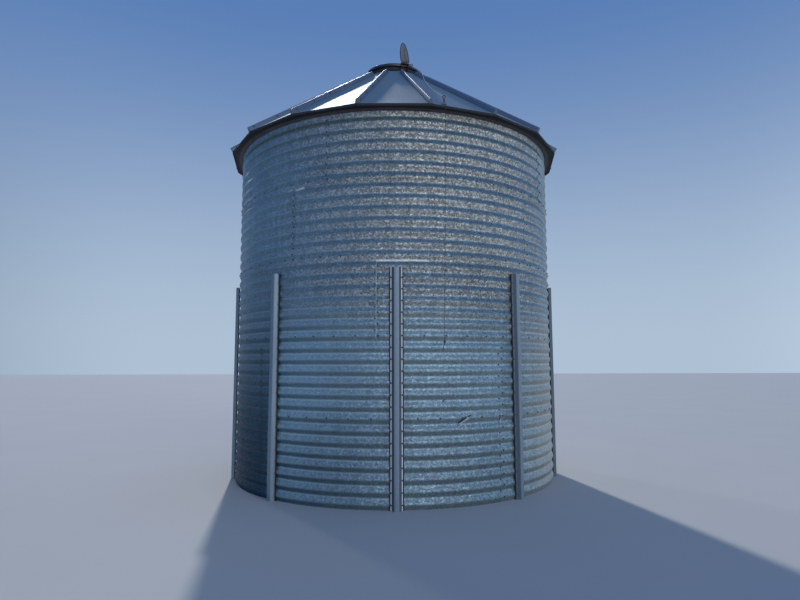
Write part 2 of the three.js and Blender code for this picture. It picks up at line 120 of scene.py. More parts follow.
# Pull rope's route, in metres
ROPE_ROUTE = (
    (0.2543, -0.3917, 5.7035), (0.259, -0.3945, 5.699), (0.296, -0.415, 5.669),
    (0.323, -0.430, 5.642), (0.344, -0.512, 5.578),
    (0.361, -0.588, 5.517), (0.376, -0.655, 5.475), (0.384, -0.697, 5.440), (0.393, -0.742, 5.386),
    (0.401, -0.790, 5.322), (0.410, -0.840, 5.270), (0.424, -0.980, 5.168), (0.436, -1.137, 5.057),
    (0.471, -1.369, 4.890), (0.490, -1.560, 4.770), (0.512, -1.773, 4.640), (0.532, -1.975, 4.519),
    (0.548, -2.130, 4.428), (0.554, -2.190, 4.388), (0.557, -2.212, 4.340), (0.557, -2.216, 4.280),
    (0.554, -2.216, 4.050), (0.549, -2.216, 3.600), (0.543, -2.216, 3.100), (0.536, -2.216, 2.600),
    (0.530, -2.216, 2.150), (0.525, -2.216, 1.741),
)

# Marks on the wall: from and to as azimuth and height, half width and depth in metres,
# and tone from dark to bright; the bright tones are painted glints on lap edges, a sheet's edge and dents'
# rims
WALL_MARKS = (
    ((18.7, 0.868), (20.9, 0.924), 0.011, 0.009, -1.0),
    ((21.6, 0.934), (22.5, 0.944), 0.009, 0.004, -0.9),
    ((19.9, 0.870), (21.5, 0.910), 0.006, -0.002, 0.4),
    ((14.0, 1.103), (14.4, 1.110), 0.009, 0.004, -0.8),
    ((32.9, 0.845), (32.9, 0.905), 0.007, 0.003, -0.8),
    ((33.4, 0.850), (33.4, 0.900), 0.005, 0.0, 0.6),
    ((-35.2, 3.466), (-33.3, 3.476), 0.008, 0.0, 0.5),
    ((-31.9, 3.462), (-28.8, 3.474), 0.012, 0.0, 1.0),
    ((59.4, 3.500), (59.4, 4.240), 0.008, 0.0, -0.8),
    ((-5.1, 2.598), (4.5, 2.600), 0.013, 0.0, 1.0),
    ((4.5, 2.600), (10.0, 2.601), 0.012, 0.0, 0.85),
    ((-5.2, 1.750), (-5.2, 2.590), 0.004, 0.0, 0.5),
    ((-18.9, 4.236), (-18.9, 4.240), 0.009, 0.003, -1.0),
    ((-18.9, 3.996), (-18.9, 3.999), 0.009, 0.003, -1.0),
)


def number(name, description, default, **kind):
    """A setting that is one number."""
    return FloatProperty(name=name, description=description, default=default, **kind)


def length(name, description, default):
    """A size in metres."""
    return number(name, description, default, unit="LENGTH")


def angle(name, description, degrees):
    """An angle, given here in degrees."""
    return number(name, description, math.radians(degrees), subtype="ANGLE")


def colour(name, description, default):
    """A colour setting."""
    return FloatVectorProperty(
        name=name, description=description, default=default, size=3, subtype="COLOR", min=0, max=1)


class SiloWallSizes(bpy.types.PropertyGroup):
    """Sizes of the corrugated wall and its stiffeners."""

    radius: length("Wall radius", "To the middle of the corrugation", 2.1315)
    depth: length("Corrugation depth", "From valley to crest", 0.020)
    corrugations: IntProperty(name="Corrugations", description="Corrugations in one tier", default=7)
    thickness: length("Sheet thickness", "Thickness of the wall sheets", 0.0012)
    end_lap: length("End lap", "Width of the lap at a vertical seam", 0.055)
    tier_lap: length("Tier lap", "How far a tier reaches up behind the next one", 0.093)
    shift: length("Corrugation shift", "How far the crests lie under their even places", 0.006)
    bolt_spacing: number("Bolt spacing", "Degrees between the bolts of a joint between tiers", 360 / 55)
    stiffener_depth: length("Stiffener depth", "From the wall's crests to the stiffener's face", 0.0455)
    stiffener_width: length("Stiffener width", "Over both flanges", 0.150)
    stiffener_mouth: length("Stiffener mouth", "Between the flanges", 0.094)
    stiffener_crown: length("Stiffener crown", "Width of the raised face", 0.058)
    # The dark strip along a flange's edge is painted shadow, of the gap between the flange and the
    # corrugations
    stain: length("Edge stain", "Width of the dark stain along a flange's edge", 0.012)
    azimuth: number("First stiffener", "Azimuth of the first stiffener in degrees", 0.6)


class SiloRoofSizes(bpy.types.PropertyGroup):
    """Sizes of the roof panels, ribs and eave skirt."""

    pitch: angle("Pitch", "Slope along a panel's centre line", 36)
    eave_radius: length("Eave radius", "To the corners of the eave", 2.285)
    eave_height: length("Eave height", "Height of the eave's edge", 4.300)
    panel_top: length("Panel top", "Distance of the panels' upper ends from the axis", 0.430)
    lip: length("Lip", "Height of the lip at the eave", 0.024)
    sheet: length("Sheet", "Thickness of the panels", 0.0015)
    sag: length("Sag", "How far the middle of a panel lies below its edges", 0.005)
    rib_top: length("Rib top", "Distance of the ribs' upper ends from the axis", 0.600)
    rib_height: length("Rib height", "Height of a rib over the panels", 0.050)
    rib_base: length("Rib base", "Width of a rib at its foot", 0.058)
    rib_crest: length("Rib crest", "Width of a rib's top", 0.026)
    skirt_foot: length("Skirt foot", "Height at which the skirt meets the wall", 4.270)
    skirt_head: length("Skirt head", "Height at which the skirt meets the roof's lip", 4.281)


class SiloPeakSizes(bpy.types.PropertyGroup):
    """Sizes of the collar, the lid and the lever."""

    collar_radius: length("Collar radius", "Inside of the neck", 0.398)
    flange_radius: length("Flange radius", "Outer edge of the collar's flange", 0.478)
    lid_radius: length("Lid radius", "Outside of the lid's rim", 0.433)
    lid_rise: length("Lid rise", "Height of the lid's cone", 0.053)
    metal: length("Metal", "Thickness of the collar and lid", 0.003)
    lever_length: length("Lever length", "From the hinge to the lever's tip", 0.272)
    lever_half_width: length("Lever half width", "Half of the lever's widest place", 0.063)
    lever_neck: length("Lever neck", "Half of the lever's width at the hinge", 0.036)
    lever_shoulder: length("Lever shoulder", "Height of the lever's shoulder over the hinge", 0.015)
    lever_tip: length("Lever tip", "How far the tip lies to one side", -0.057)
    lever_lean: angle("Lever lean", "Lean outwards", 15)
    strap_width: length("Strap width", "Width of the strap on the lid", 0.060)
    barrel_length: length("Barrel length", "Length of the hinge's barrel", 0.092)
    barrel_radius: length("Barrel radius", "Radius of the hinge's barrel", 0.011)


class SiloRopeSizes(bpy.types.PropertyGroup):
    """Sizes of the pull rope, its knot and its guide."""

    radius: length("Rope radius", "Half of the rope's diameter", 0.003)
    lay: length("Lay", "Length of one turn of the strands", 0.030)
    step: length("Step", "Distance between the rope's rings of points", 0.004)
    tail: length("Tail", "Length of the end below the knot", 0.075)
    knot_height: length("Knot height", "Height of the knot", 0.038)
    guide_azimuth: number("Guide azimuth", "Azimuth of the rope guide in degrees", 14.2)
    guide_radius: length("Guide radius", "Distance of the guide from the axis", 2.238)
    guide_height: length("Guide height", "Height of the ring's middle", 4.405)
    guide_ring: length("Guide ring", "Radius of the ring", 0.016)
    guide_wire: length("Guide wire", "Radius of the guide's wire", 0.004)


class SiloFinishes(bpy.types.PropertyGroup):
    """Colours of the silo; a corrugation's upper face looks up and its under face looks down, and on the wall
    they carry painted reflections, of the sky on the upper faces and of the ground on the under faces.
    """

    # Painted reflections: the sky on the upper faces and the ground on the under faces, low and high on the
    # wall
    low_upper: colour("Low wall, upper faces", "Zinc low on the wall", (0.225, 0.315, 0.365))
    low_under: colour("Low wall, under faces", "Zinc low on the wall", (0.23, 0.30, 0.31))
    high_upper: colour("High wall, upper faces", "Zinc high on the wall", (0.135, 0.195, 0.235))
    high_under: colour("High wall, under faces", "Zinc high on the wall", (0.38, 0.375, 0.345))
    # Painted shade on the left, the side away from the key light, over the faces' painted reflections
    left_low_upper: colour("Left, low, upper faces", "Zinc low on the left", (0.36, 0.50, 0.54))
    left_low_under: colour("Left, low, under faces", "Zinc low on the left", (0.055, 0.15, 0.23))
    left_high_upper: colour("Left, high, upper faces", "Zinc high on the left", (0.225, 0.31, 0.32))
    left_high_under: colour("Left, high, under faces", "Zinc high on the left", (0.15, 0.28, 0.42))
    # Painted shade at the far left, low on the wall and in front
    far_left_shade_upper: colour("Damp, upper faces", "Damp zinc at the far left", (0.030, 0.075, 0.105))
    far_left_shade_under: colour("Damp, under faces", "Damp zinc at the far left", (0.018, 0.062, 0.105))
    # Painted light on the right, where the wall catches the light and reflects the sky
    right_low: colour("Right, low", "Zinc low on the right", (0.43, 0.43, 0.39))
    right_high: colour("Right, high", "Zinc high on the right", (0.22, 0.30, 0.36))
    stiffener: colour("Stiffeners", "Smooth zinc of the stiffeners", (0.22, 0.29, 0.35))
    panel: colour("Roof panels", "Smooth zinc of the roof panels", (0.18, 0.25, 0.31))
    rib: colour("Roof ribs", "Zinc of the ribs", (0.17, 0.23, 0.30))
    # Painted shade under the eave, brown as the ground's painted reflection
    eave: colour("Eave skirt", "Stained steel under the eave", (0.10, 0.088, 0.085))
    collar: colour("Collar", "Stained steel of the neck", (0.028, 0.040, 0.052))
    lever: colour("Lever", "Worn steel of the lever", (0.12, 0.15, 0.18))
    rust: colour("Rust", "Rusty steel of the hinge", (0.050, 0.020, 0.014))
    rope: colour("Rope", "Dirty fibre below the eave", (0.055, 0.055, 0.058))
    bleached: colour("Bleached rope", "Fibre over the roof", (0.75, 0.76, 0.74))


class SiloStage(bpy.types.PropertyGroup):
    """Camera and studio light."""

    lens: number("Lens", "Focal length", 26.01, unit="CAMERA")
    distance: length("Distance", "Camera's distance from the silo's axis", 8.2405)
    height: length("Height", "Camera's height over the silo's foot", 1.5276)
    tilt: angle("Tilt", "Camera's tilt upwards", 6.0037)
    turn: angle("Turn", "Camera's turn to the right", 0.57)
    roll: angle("Roll", "Camera's roll", -0.1305)
    key: number("Key light", "Strength of the key light", 0.8)
    back: number("Back light", "Strength of the light from behind", 1.9)
    rim: number("Rim light", "Strength of the light on the edges", 0.2)
    sky: number("Studio dome", "Strength of the soft light all round", 1.0)


def place(azimuth, radius, height):
    """A point by its azimuth in degrees, distance from the axis and height."""
    turn = math.radians(azimuth)
    return Vector((radius * math.sin(turn), -radius * math.cos(turn), height))


def outward(azimuth):
    """Unit vector away from the axis."""
    return place(azimuth, 1, 0)


def sideways(azimuth):
    """Unit vector along the wall, towards growing azimuths."""
    return place(azimuth + 90, 1, 0)


class Wiring:
    """Adds nodes to a tree and links them."""

    def __init__(self, tree):
        self.tree = tree

    def add(self, kind, inputs=None, **settings):
        """A node with its settings, and its inputs set or linked by name or number."""
        node = self.tree.nodes.new(kind)
        for name, value in settings.items():
            setattr(node, name, value)
        for name, value in (inputs or {}).items():
            self.feed(node.inputs[name], value)
        return node

    def feed(self, socket, value):
        """Links a socket or sets its value."""
        if isinstance(value, bpy.types.NodeSocket):
            self.tree.links.new(value, socket)
        else:
            socket.default_value = value

    def math(self, operation, a, b=0.0, c=0.0, clamp=False):
        """Result of a math node."""
        values = {0: a, 1: b, 2: c}
        return self.add("ShaderNodeMath", values, operation=operation, use_clamp=clamp).outputs[0]

    def vector(self, operation, a, b=(0, 0, 0)):
        """Result of a vector math node."""
        return self.add("ShaderNodeVectorMath", {0: a, 1: b}, operation=operation).outputs[0]

    def spread(self, value, low, high, to_low=0.0, to_high=1.0, smooth=False):
        """Value mapped from one range to another."""
        kind = "SMOOTHSTEP" if smooth else "LINEAR"
        values = {0: value, 1: low, 2: high, 3: to_low, 4: to_high}
        return self.add("ShaderNodeMapRange", values, interpolation_type=kind).outputs[0]

    def eased(self, value, low, high, to_low=0.0, to_high=1.0):
        """Value mapped from one range to another, with soft ends."""
        return self.spread(value, low, high, to_low, to_high, smooth=True)

    def between(self, share, low, high):
        """A share from 0 to 1 mapped to another range."""
        return self.spread(share, 0.0, 1.0, low, high)

    def chain(self, operation, first, *others):
        """Result of one operation over several values."""
        for other in others:
            first = self.math(operation, first, other)
        return first

    def nudged(self, value, pattern, amount):
        """Value moved up and down by a pattern around 0.5."""
        return self.math("MULTIPLY_ADD", self.math("SUBTRACT", pattern, 0.5), amount, value)

    def grey(self, value):
        """A number as a grey colour."""
        return self.add("ShaderNodeCombineXYZ", {0: value, 1: value, 2: value}).outputs[0]

    def height(self, where):
        """Height of a place."""
        return self.add("ShaderNodeSeparateXYZ", {0: where}).outputs["Z"]

    def mix(self, share, a, b, blend="MIX"):
        """Two colours mixed by a share."""
        node = self.add("ShaderNodeMix", {0: share, 6: a, 7: b}, data_type="RGBA", blend_type=blend)
        return node.outputs[2]

    def noise(self, where, scale, detail=3.0, roughness=0.55):
        """Noise around 0.5."""
        values = {"Vector": where, "Scale": scale, "Detail": detail, "Roughness": roughness}
        return self.add("ShaderNodeTexNoise", values).outputs[0]

    def cells(self, where, scale):
        """A random value for each cell."""
        node = self.add("ShaderNodeTexVoronoi", {"Vector": where, "Scale": scale, "Randomness": 1.0})
        return self.add("ShaderNodeSeparateColor", {0: node.outputs["Color"]}).outputs[0]

    def attribute(self, name):
        """A number stored on the mesh."""
        return self.add("ShaderNodeAttribute", attribute_name=name).outputs["Fac"]


def rgb(values):
    """A colour with full alpha."""
    return (*values, 1.0)


def shader(name):
    """A new material, its wiring, its principled shader and its object coordinates."""
    finish = bpy.data.materials.new(name)
    finish.use_nodes = True
    wiring = Wiring(finish.node_tree)
    surface = finish.node_tree.nodes["Principled BSDF"]
    where = wiring.add("ShaderNodeTexCoord").outputs["Object"]
    return finish, wiring, surface, where


def stretched(wiring, where, along=0.08):
    """Coordinates squeezed so that a pattern runs down the object."""
    return wiring.vector("MULTIPLY", where, (1, 1, along))


def scaled(values, factor):
    """A colour made lighter or darker."""
    return tuple(min(1.0, value * factor) for value in values)


def shades(values, light, dark):
    """A colour's light and dark shade."""
    return scaled(values, light), scaled(values, dark)


def painted(wiring, surface, paint):
    """Gives the surface its colour."""
    wiring.feed(surface.inputs["Base Color"], paint)


def recoloured(wiring, surface, share, paint):
    """Mixes one more colour over what the surface has."""
    before = surface.inputs["Base Color"].links[0].from_socket
    painted(wiring, surface, wiring.mix(share, before, rgb(paint)))


def embossed(wiring, surface, relief, strength, distance):
    """Gives the surface a fine relief."""
    shape = wiring.add("ShaderNodeBump", {"Height": relief, "Strength": strength, "Distance": distance})
    wiring.feed(surface.inputs["Normal"], shape.outputs[0])


def weathered(name, paints, metallic, roughness, grain=0.0, streaks=0.35, clouds=0.4, bump=0.1):
    """Zinc-coated sheet: spangle grains, streaks down the sheet and broad clouds between two colours."""
    finish, wiring, surface, where = shader(name)
    speck = wiring.cells(where, 50.0)
    tone = wiring.nudged(0.5, wiring.noise(where, 1.4), clouds)
    tone = wiring.nudged(tone, wiring.noise(stretched(wiring, where), 22.0, 4.0, 0.6), streaks)
    if grain:
        tone = wiring.nudged(tone, speck, grain)
    tone = wiring.math("ADD", tone, 0.0, clamp=True)
    light, dark = paints
    smooth, rough = roughness
    painted(wiring, surface, wiring.mix(tone, rgb(dark), rgb(light)))
    surface.inputs["Metallic"].default_value = metallic
    wiring.feed(surface.inputs["Roughness"], wiring.between(tone, rough, smooth))
    relief = wiring.math("MULTIPLY_ADD", speck, 0.35, wiring.noise(where, 90.0, 4.0))
    embossed(wiring, surface, relief, bump, 0.002)
    return finish, wiring, surface, where


def tilted_grains(wiring, where, scale, amount):
    """The surface's normal, tilted at random in each grain."""
    grains = wiring.add("ShaderNodeTexVoronoi", {"Vector": where, "Scale": scale}).outputs["Color"]
    tilt = wiring.vector("SUBTRACT", grains, (0.5, 0.5, 0.5))
    tilt = wiring.vector("MULTIPLY", tilt, (amount, amount, amount))
    normal = wiring.add("ShaderNodeNewGeometry").outputs["Normal"]
    return wiring.vector("NORMALIZE", wiring.vector("ADD", normal, tilt))


def painted_reflection_colours(wiring, finishes, side, under, high):
    """Painted reflections by the face of a corrugation and by height, from one side's settings: the sky's on
    the upper faces and the ground's on the under faces.
    """
    upper, high_upper, lower, high_lower = (
        rgb(getattr(finishes, side + name))
        for name in ("low_upper", "high_upper", "low_under", "high_under"))
    return wiring.mix(under, wiring.mix(high, upper, high_upper), wiring.mix(high, lower, high_lower))


def wall_spangle(finishes):
    """Wall sheets: spangled zinc with painted reflections on a corrugation's two faces, painted shade, light
    and glints, and the marks.
    """
    finish, wiring, surface, where = shader("wall_spangle")
    wall = bpy.context.scene.silo_wall
    spot = wiring.add("ShaderNodeSeparateXYZ", {0: where}).outputs
    across = spot["X"]
    height = spot["Z"]
    high = wiring.eased(height, *HIGH_WALL)
    large = wiring.cells(where, 62.0)
    coarse = wiring.math("MULTIPLY", large, 0.65)
    grain = wiring.math("MULTIPLY_ADD", wiring.cells(where, 120.0), 0.35, coarse)
    runs = wiring.noise(stretched(wiring, where, 0.05), 13.0, 5.0, 0.62)
    turns = 2 * math.pi * wall.corrugations / TIER_HEIGHT
    phase = wiring.math("MULTIPLY", wiring.math("ADD", height, wall.shift), turns)
    slope = wiring.math("SUBTRACT", wiring.math("SINE", phase), 0.3)
    slope = wiring.nudged(wiring.nudged(slope, grain, 0.9), runs, 0.5)
    under = wiring.eased(slope, -0.6, 0.6)

    # Painted shade on the left, over the faces' painted reflections
    left = painted_reflection_colours(wiring, finishes, "left_", under, high)
    # Painted shade, darkest low at the far left in front
    far_left_shade = wiring.mix(under, rgb(finishes.far_left_shade_upper), rgb(finishes.far_left_shade_under))
    outside_far_left_shade = wiring.chain("MAXIMUM", wiring.eased(height, *FAR_LEFT_SHADE_HEIGHT), wiring.eased(across, *FAR_LEFT_SHADE_ACROSS),
                       wiring.eased(spot["Y"], *FAR_LEFT_SHADE_BACK))
    left = wiring.mix(outside_far_left_shade, far_left_shade, left)
    # Painted light and painted sky reflection on the right
    right = wiring.mix(high, rgb(finishes.right_low), rgb(finishes.right_high))
    # Painted reflections on the corrugations' two faces
    paint = painted_reflection_colours(wiring, finishes, "", under, high)
    # The left's painted shade takes over towards the left edge
    paint = wiring.mix(wiring.eased(across, *LEFT_ENDS, 1.0, 0.0), paint, left)
    paint = wiring.mix(wiring.eased(across, *RIGHT_STARTS, 0.0, 0.75), paint, right)

    # Painted glints: the spangle grains are painted brighter where light falls, on the faces that look lit,
    # high up and towards the middle
    lit = wiring.math("ABSOLUTE", wiring.math("SUBTRACT", wiring.math("ADD", under, high), 1.0))
    speck = wiring.math("MULTIPLY_ADD", wiring.math("POWER", grain, 2.4), 1.9, -0.36)
    clear = wiring.between(wiring.eased(across, *SPANGLE_GLINT_STARTS), 0.3, 1.0)
    reach = wiring.chain("MULTIPLY", wiring.between(lit, 0.6, 1.0), clear, wiring.between(high, 0.5, 1.0),
                         wiring.spread(across, *SPANGLE_GLINT_ENDS, 1.0, 0.4))
    tone = wiring.math("MULTIPLY_ADD", speck, reach, 1.0)
    # Painted highlight: a thin bright line along each valley
    valley = wiring.eased(wiring.math("COSINE", phase), 0.80, 1.0, 0.0, 0.3)
    # The wall grows darker towards its foot
    dust = wiring.spread(height, *FOOT_DARKENING, -0.14, 0.0)
    tone = wiring.chain("ADD", tone, valley, dust, wiring.attribute("sheet_tone"))
    tone = wiring.nudged(tone, wiring.noise(where, 0.8, 3.0), 0.6)
    tone = wiring.nudged(tone, runs, 0.5)
    painted(wiring, surface, wiring.mix(1.0, paint, wiring.grey(tone), "MULTIPLY"))

    mark = wiring.attribute("mark")
    # Painted glints: the bright marks on lap edges, a sheet's edge and dents' rims
    recoloured(wiring, surface, wiring.between(mark, 0.0, 0.9), (0.88, 0.90, 0.90))
    recoloured(wiring, surface, wiring.spread(mark, 0.0, -1.0, 0.0, 0.97), (0.012, 0.013, 0.016))
    # Inside the far left's painted shade the zinc is less metallic and glossy
    wiring.feed(surface.inputs["Metallic"], wiring.between(outside_far_left_shade, 0.2, 0.6))
    wiring.feed(surface.inputs["Specular IOR Level"], wiring.between(outside_far_left_shade, 0.15, 0.5))
    wiring.feed(surface.inputs["Roughness"], wiring.between(large, 0.55, 0.4))
    wiring.feed(surface.inputs["Normal"], tilted_grains(wiring, where, 100.0, 0.35))
    return finish


def stiffener_zinc(finishes):
    """Crowns of the stiffeners: smooth zinc."""
    paints = shades(finishes.stiffener, 1.3, 0.75)
    return weathered("stiffener_zinc", paints, 0.5, (0.42, 0.56), grain=0.12, streaks=0.5)[0]


def stiffener_web(finishes):
    """Sides of the stiffeners: zinc with painted shade, as in the shade of the crown, and duller."""
    return weathered("stiffener_web", shades(finishes.stiffener, 0.75, 0.4), 0.4, (0.5, 0.65), streaks=0.5)[0]


def stiffener_flange(finishes):
    """Flanges of the stiffeners: pale, near white, as a painted highlight."""
    paints = ((0.95, 0.96, 0.94), (0.60, 0.62, 0.62))
    return weathered("stiffener_flange", paints, 0.1, (0.4, 0.55), streaks=0.6)[0]


def edge_shade_and_stain(finishes):
    """Dark edges: painted shadow along the stiffeners' flanges and under the roof panels' lip, painted shade
    on the lever's folded edge, and a stain where water stands on the wall sheets' edges.
    """
    paints = ((0.040, 0.048, 0.058), (0.014, 0.016, 0.020))
    return weathered("edge_shade_and_stain", paints, 0.2, (0.7, 0.85), streaks=0.6)[0]


def painted_highlight_edge(finishes):
    """Bright edge of the roof panels' bend: a painted highlight."""
    paints = ((0.62, 0.66, 0.68), (0.32, 0.36, 0.40))
    return weathered("painted_highlight_edge", paints, 0.5, (0.35, 0.5), streaks=0.6)[0]


def roof_panel_steel(finishes):
    """Roof panels: smooth zinc with broad clouds."""
    paints = shades(finishes.panel, 1.3, 0.7)
    return weathered(
        "roof_panel_steel", paints, 0.4, (0.58, 0.64), grain=0.06, streaks=0.3, clouds=0.6, bump=0.04)[0]


def roof_rib_steel(finishes):
    """Ribs of the roof: smooth zinc."""
    return weathered("roof_rib_steel", shades(finishes.rib, 1.2, 0.7), 0.6, (0.44, 0.56), grain=0.08)[0]


def lid_steel(finishes):
    """Lid: dark, dull zinc."""
    paints = shades(finishes.stiffener, 0.4, 0.15)
    return weathered("lid_steel", paints, 0.7, (0.3, 0.5), grain=0.1, streaks=0.5)[0]


def floor_zinc(finishes):
    """Floor sheet: spangled zinc."""
    return weathered("floor_zinc", shades(finishes.stiffener, 0.8, 0.35), 0.5, (0.5, 0.7), grain=0.15)[0]


def bolt_zinc(finishes):
    """Bolt heads: dark, blotchy zinc."""
    paints = ((0.12, 0.13, 0.145), (0.035, 0.037, 0.042))
    return weathered("bolt_zinc", paints, 0.5, (0.5, 0.7), clouds=0.9)[0]


def painted_shade_eave_steel(finishes):
    """Eave skirt: streaked steel, dark brown as painted shade with the ground's painted reflection, and a
    painted shadow that is darkest along its outer edge.
    """
    finish, wiring, surface, where = weathered(
        "painted_shade_eave_steel", shades(finishes.eave, 1.7, 0.6), 0.3, (0.6, 0.8), streaks=0.7, clouds=0.7)
    flat = wiring.vector("MULTIPLY", where, (1, 1, 0))
    away = wiring.add("ShaderNodeVectorMath", {0: flat}, operation="LENGTH").outputs["Value"]
    # Painted shadow under the roof's lip, darkest at the skirt's outer edge
    recoloured(wiring, surface, wiring.eased(away, 2.175, 2.205, 0.0, 0.92), (0.014, 0.016, 0.020))
    return finish


def stained_collar_steel(finishes):
    """Collar: dull steel with brown and green stains running down."""
    paints = shades(finishes.collar, 1.5, 0.55)
    finish, wiring, surface, where = weathered(
        "stained_collar_steel", paints, 0.45, (0.5, 0.75), streaks=0.9, clouds=0.8)
    stain = wiring.spread(wiring.noise(stretched(wiring, where, 0.3), 14.0, 4.0), 0.45, 0.65, 0.0, 0.6)
    recoloured(wiring, surface, stain, (0.055, 0.038, 0.030))
    moss = wiring.spread(wiring.noise(where, 9.0, 3.0), 0.55, 0.7, 0.0, 0.4)
    recoloured(wiring, surface, moss, (0.05, 0.085, 0.085))
    return finish


def rusted_steel(finishes):
    """Bracket, pin and guide: rust with a little dark steel showing."""
    finish, wiring, surface, where = shader("rusted_steel")
    mottle = wiring.noise(where, 38.0, 6.0, 0.7)
    dark, light = (rgb(scaled(finishes.rust, factor)) for factor in (0.45, 1.9))
    rust = wiring.mix(wiring.spread(mottle, 0.35, 0.68), dark, light)
    bare = wiring.spread(wiring.noise(where, 16.0, 5.0, 0.65), 0.62, 0.78)
    painted(wiring, surface, wiring.mix(bare, rust, rgb((0.10, 0.10, 0.105))))
    wiring.feed(surface.inputs["Roughness"], wiring.between(bare, 0.9, 0.5))
    wiring.feed(surface.inputs["Metallic"], wiring.between(bare, 0.1, 0.8))
    embossed(wiring, surface, mottle, 0.5, 0.002)
    return finish


def worn_lever_steel(finishes):
    """Lever: worn grey steel that rusts towards its foot."""
    finish, wiring, surface, where = weathered(
        "worn_lever_steel", shades(finishes.lever, 1.4, 0.6), 0.6, (0.42, 0.62), streaks=0.6, clouds=0.5)
    edge = wiring.math("MULTIPLY_ADD", wiring.noise(where, 30.0, 5.0), 0.10, wiring.height(where))
    low = wiring.eased(edge, HINGE_HEIGHT + 0.095, HINGE_HEIGHT + 0.06, 0.0, 0.9)
    recoloured(wiring, surface, low, finishes.rust)
    return finish


def rope_strands(finishes):
    """Weathered fibre with a fine twist, bleached over the roof."""
    finish, wiring, surface, where = shader("rope_strands")
    strand = wiring.noise(stretched(wiring, where, 0.35), 420.0, 3.0)
    pale = wiring.eased(wiring.height(where), WALL_TOP - 0.1, WALL_TOP + 0.1)
    paint = wiring.mix(pale, rgb(finishes.rope), rgb(finishes.bleached))
    worn = wiring.spread(strand, 0.3, 0.7, 0.6, 1.3)
    painted(wiring, surface, wiring.mix(1.0, paint, wiring.grey(worn), "MULTIPLY"))
    surface.inputs["Roughness"].default_value = 0.95
    embossed(wiring, surface, strand, 0.6, 0.0006)
    return finish


def washer_rubber(finishes):
    """Dark sealing washers under the bolt heads."""
    finish, wiring, surface, where = shader("washer_rubber")
    dust = wiring.noise(where, 200.0, 2.0)
    painted(wiring, surface, wiring.mix(dust, rgb((0.03, 0.032, 0.035)), rgb((0.12, 0.125, 0.13))))
    surface.inputs["Roughness"].default_value = 0.8
    return finish


def studio_floor():
    """Pale matt floor."""
    finish, wiring, surface, where = shader("studio_floor")
    cloud = wiring.noise(where, 0.6, 2.0)
    painted(wiring, surface, wiring.mix(cloud, rgb((0.45, 0.45, 0.44)), rgb((0.49, 0.49, 0.48))))
    surface.inputs["Roughness"].default_value = 0.9
    return finish


# Every finish of the silo is made by the function that has its name
FINISHES = {maker.__name__: maker for maker in (
    wall_spangle, stiffener_zinc, stiffener_web, stiffener_flange, edge_shade_and_stain, painted_highlight_edge, roof_panel_steel,
    roof_rib_steel, lid_steel, floor_zinc, bolt_zinc, painted_shade_eave_steel, stained_collar_steel, rusted_steel,
    worn_lever_steel, rope_strands, washer_rubber,
)}


def finish_of(name):
    """The material of that name, made when it is first asked for."""
    return bpy.data.materials.get(name) or FINISHES[name](bpy.context.scene.silo_finishes)


def coated(mesh, *finishes):
    """The mesh with just these finishes, in this order."""
    if mesh.materials:
        # This also sends every face back to the first slot
        mesh.materials.clear()
    for finish in finishes:
        mesh.materials.append(finish_of(finish))
    return mesh


def piece_from(name, mesh):
    """A new object in the scene that shows a mesh."""
    piece = bpy.data.objects.new(name, mesh)
    bpy.context.scene.collection.objects.link(piece)
    return piece


def mesh_of(name, points, faces):
    """A mesh whose doubled points are merged and whose faces point outwards."""
    weld = 1e-6
    mesh = bpy.data.meshes.new(name)
    mesh.from_pydata([tuple(point) for point in points], [], faces)
    shape = bmesh.new()
    shape.from_mesh(mesh)
    bmesh.ops.remove_doubles(shape, verts=shape.verts, dist=weld)
    bmesh.ops.dissolve_degenerate(shape, edges=shape.edges, dist=weld)
    bmesh.ops.recalc_face_normals(shape, faces=shape.faces)
    shape.to_mesh(mesh)
    shape.free()
    return mesh


def joined(name, meshes):
    """One mesh from several."""
    shape = bmesh.new()
    for mesh in meshes:
        shape.from_mesh(mesh)
    whole = bpy.data.meshes.new(name)
    shape.to_mesh(whole)
    shape.free()
    return whole


def softened(mesh, angle=32):
    """Smooth shading that keeps edges sharper than the angle."""
    mesh.polygons.foreach_set("use_smooth", [True] * len(mesh.polygons))
    mesh.set_sharp_from_angle(angle=math.radians(angle))
    return mesh


def worked(name, mesh, *modifiers):
    """The mesh with modifiers worked into it, each given as its kind and its settings."""
    source = piece_from(name + "_blank", mesh)
    for kind, settings in modifiers:
        modifier = source.modifiers.new(kind.lower(), kind)
        for key, value in settings.items():
            setattr(modifier, key, value)
    result = bpy.data.meshes.new_from_object(source.evaluated_get(bpy.context.evaluated_depsgraph_get()))
    bpy.data.objects.remove(source)
    return result


def bevelled(mesh, width, segments=2):
    """The mesh with its sharp edges rounded."""
    return worked("bevel", mesh, ("BEVEL", {
        "width": width, "segments": segments, "limit_method": "ANGLE", "angle_limit": math.radians(30)}))


def settle(piece, finish, body="root", stands_for=()):
    """Gives a finished piece its material and body, and hides the CAD nodes that it stands for."""
    if finish_of(finish).name not in piece.data.materials:
        piece.data.materials.clear()
        piece.data.materials.append(finish_of(finish))
    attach(piece, body)
    if stands_for:
        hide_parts(*stands_for)


def new_tree(name, **inputs):
    """A Geometry Nodes tree, with the names of its inputs given by kind; also its wiring and its inputs."""
    tree = bpy.data.node_groups.new(name, "GeometryNodeTree")
    for kind, labels in inputs.items():
        for label in labels.split(", "):
            tree.interface.new_socket(name=label, in_out="INPUT", socket_type="NodeSocket" + kind)
    tree.interface.new_socket(name="Geometry", in_out="OUTPUT", socket_type="NodeSocketGeometry")
    wiring = Wiring(tree)
    return tree, wiring, wiring.add("NodeGroupInput").outputs


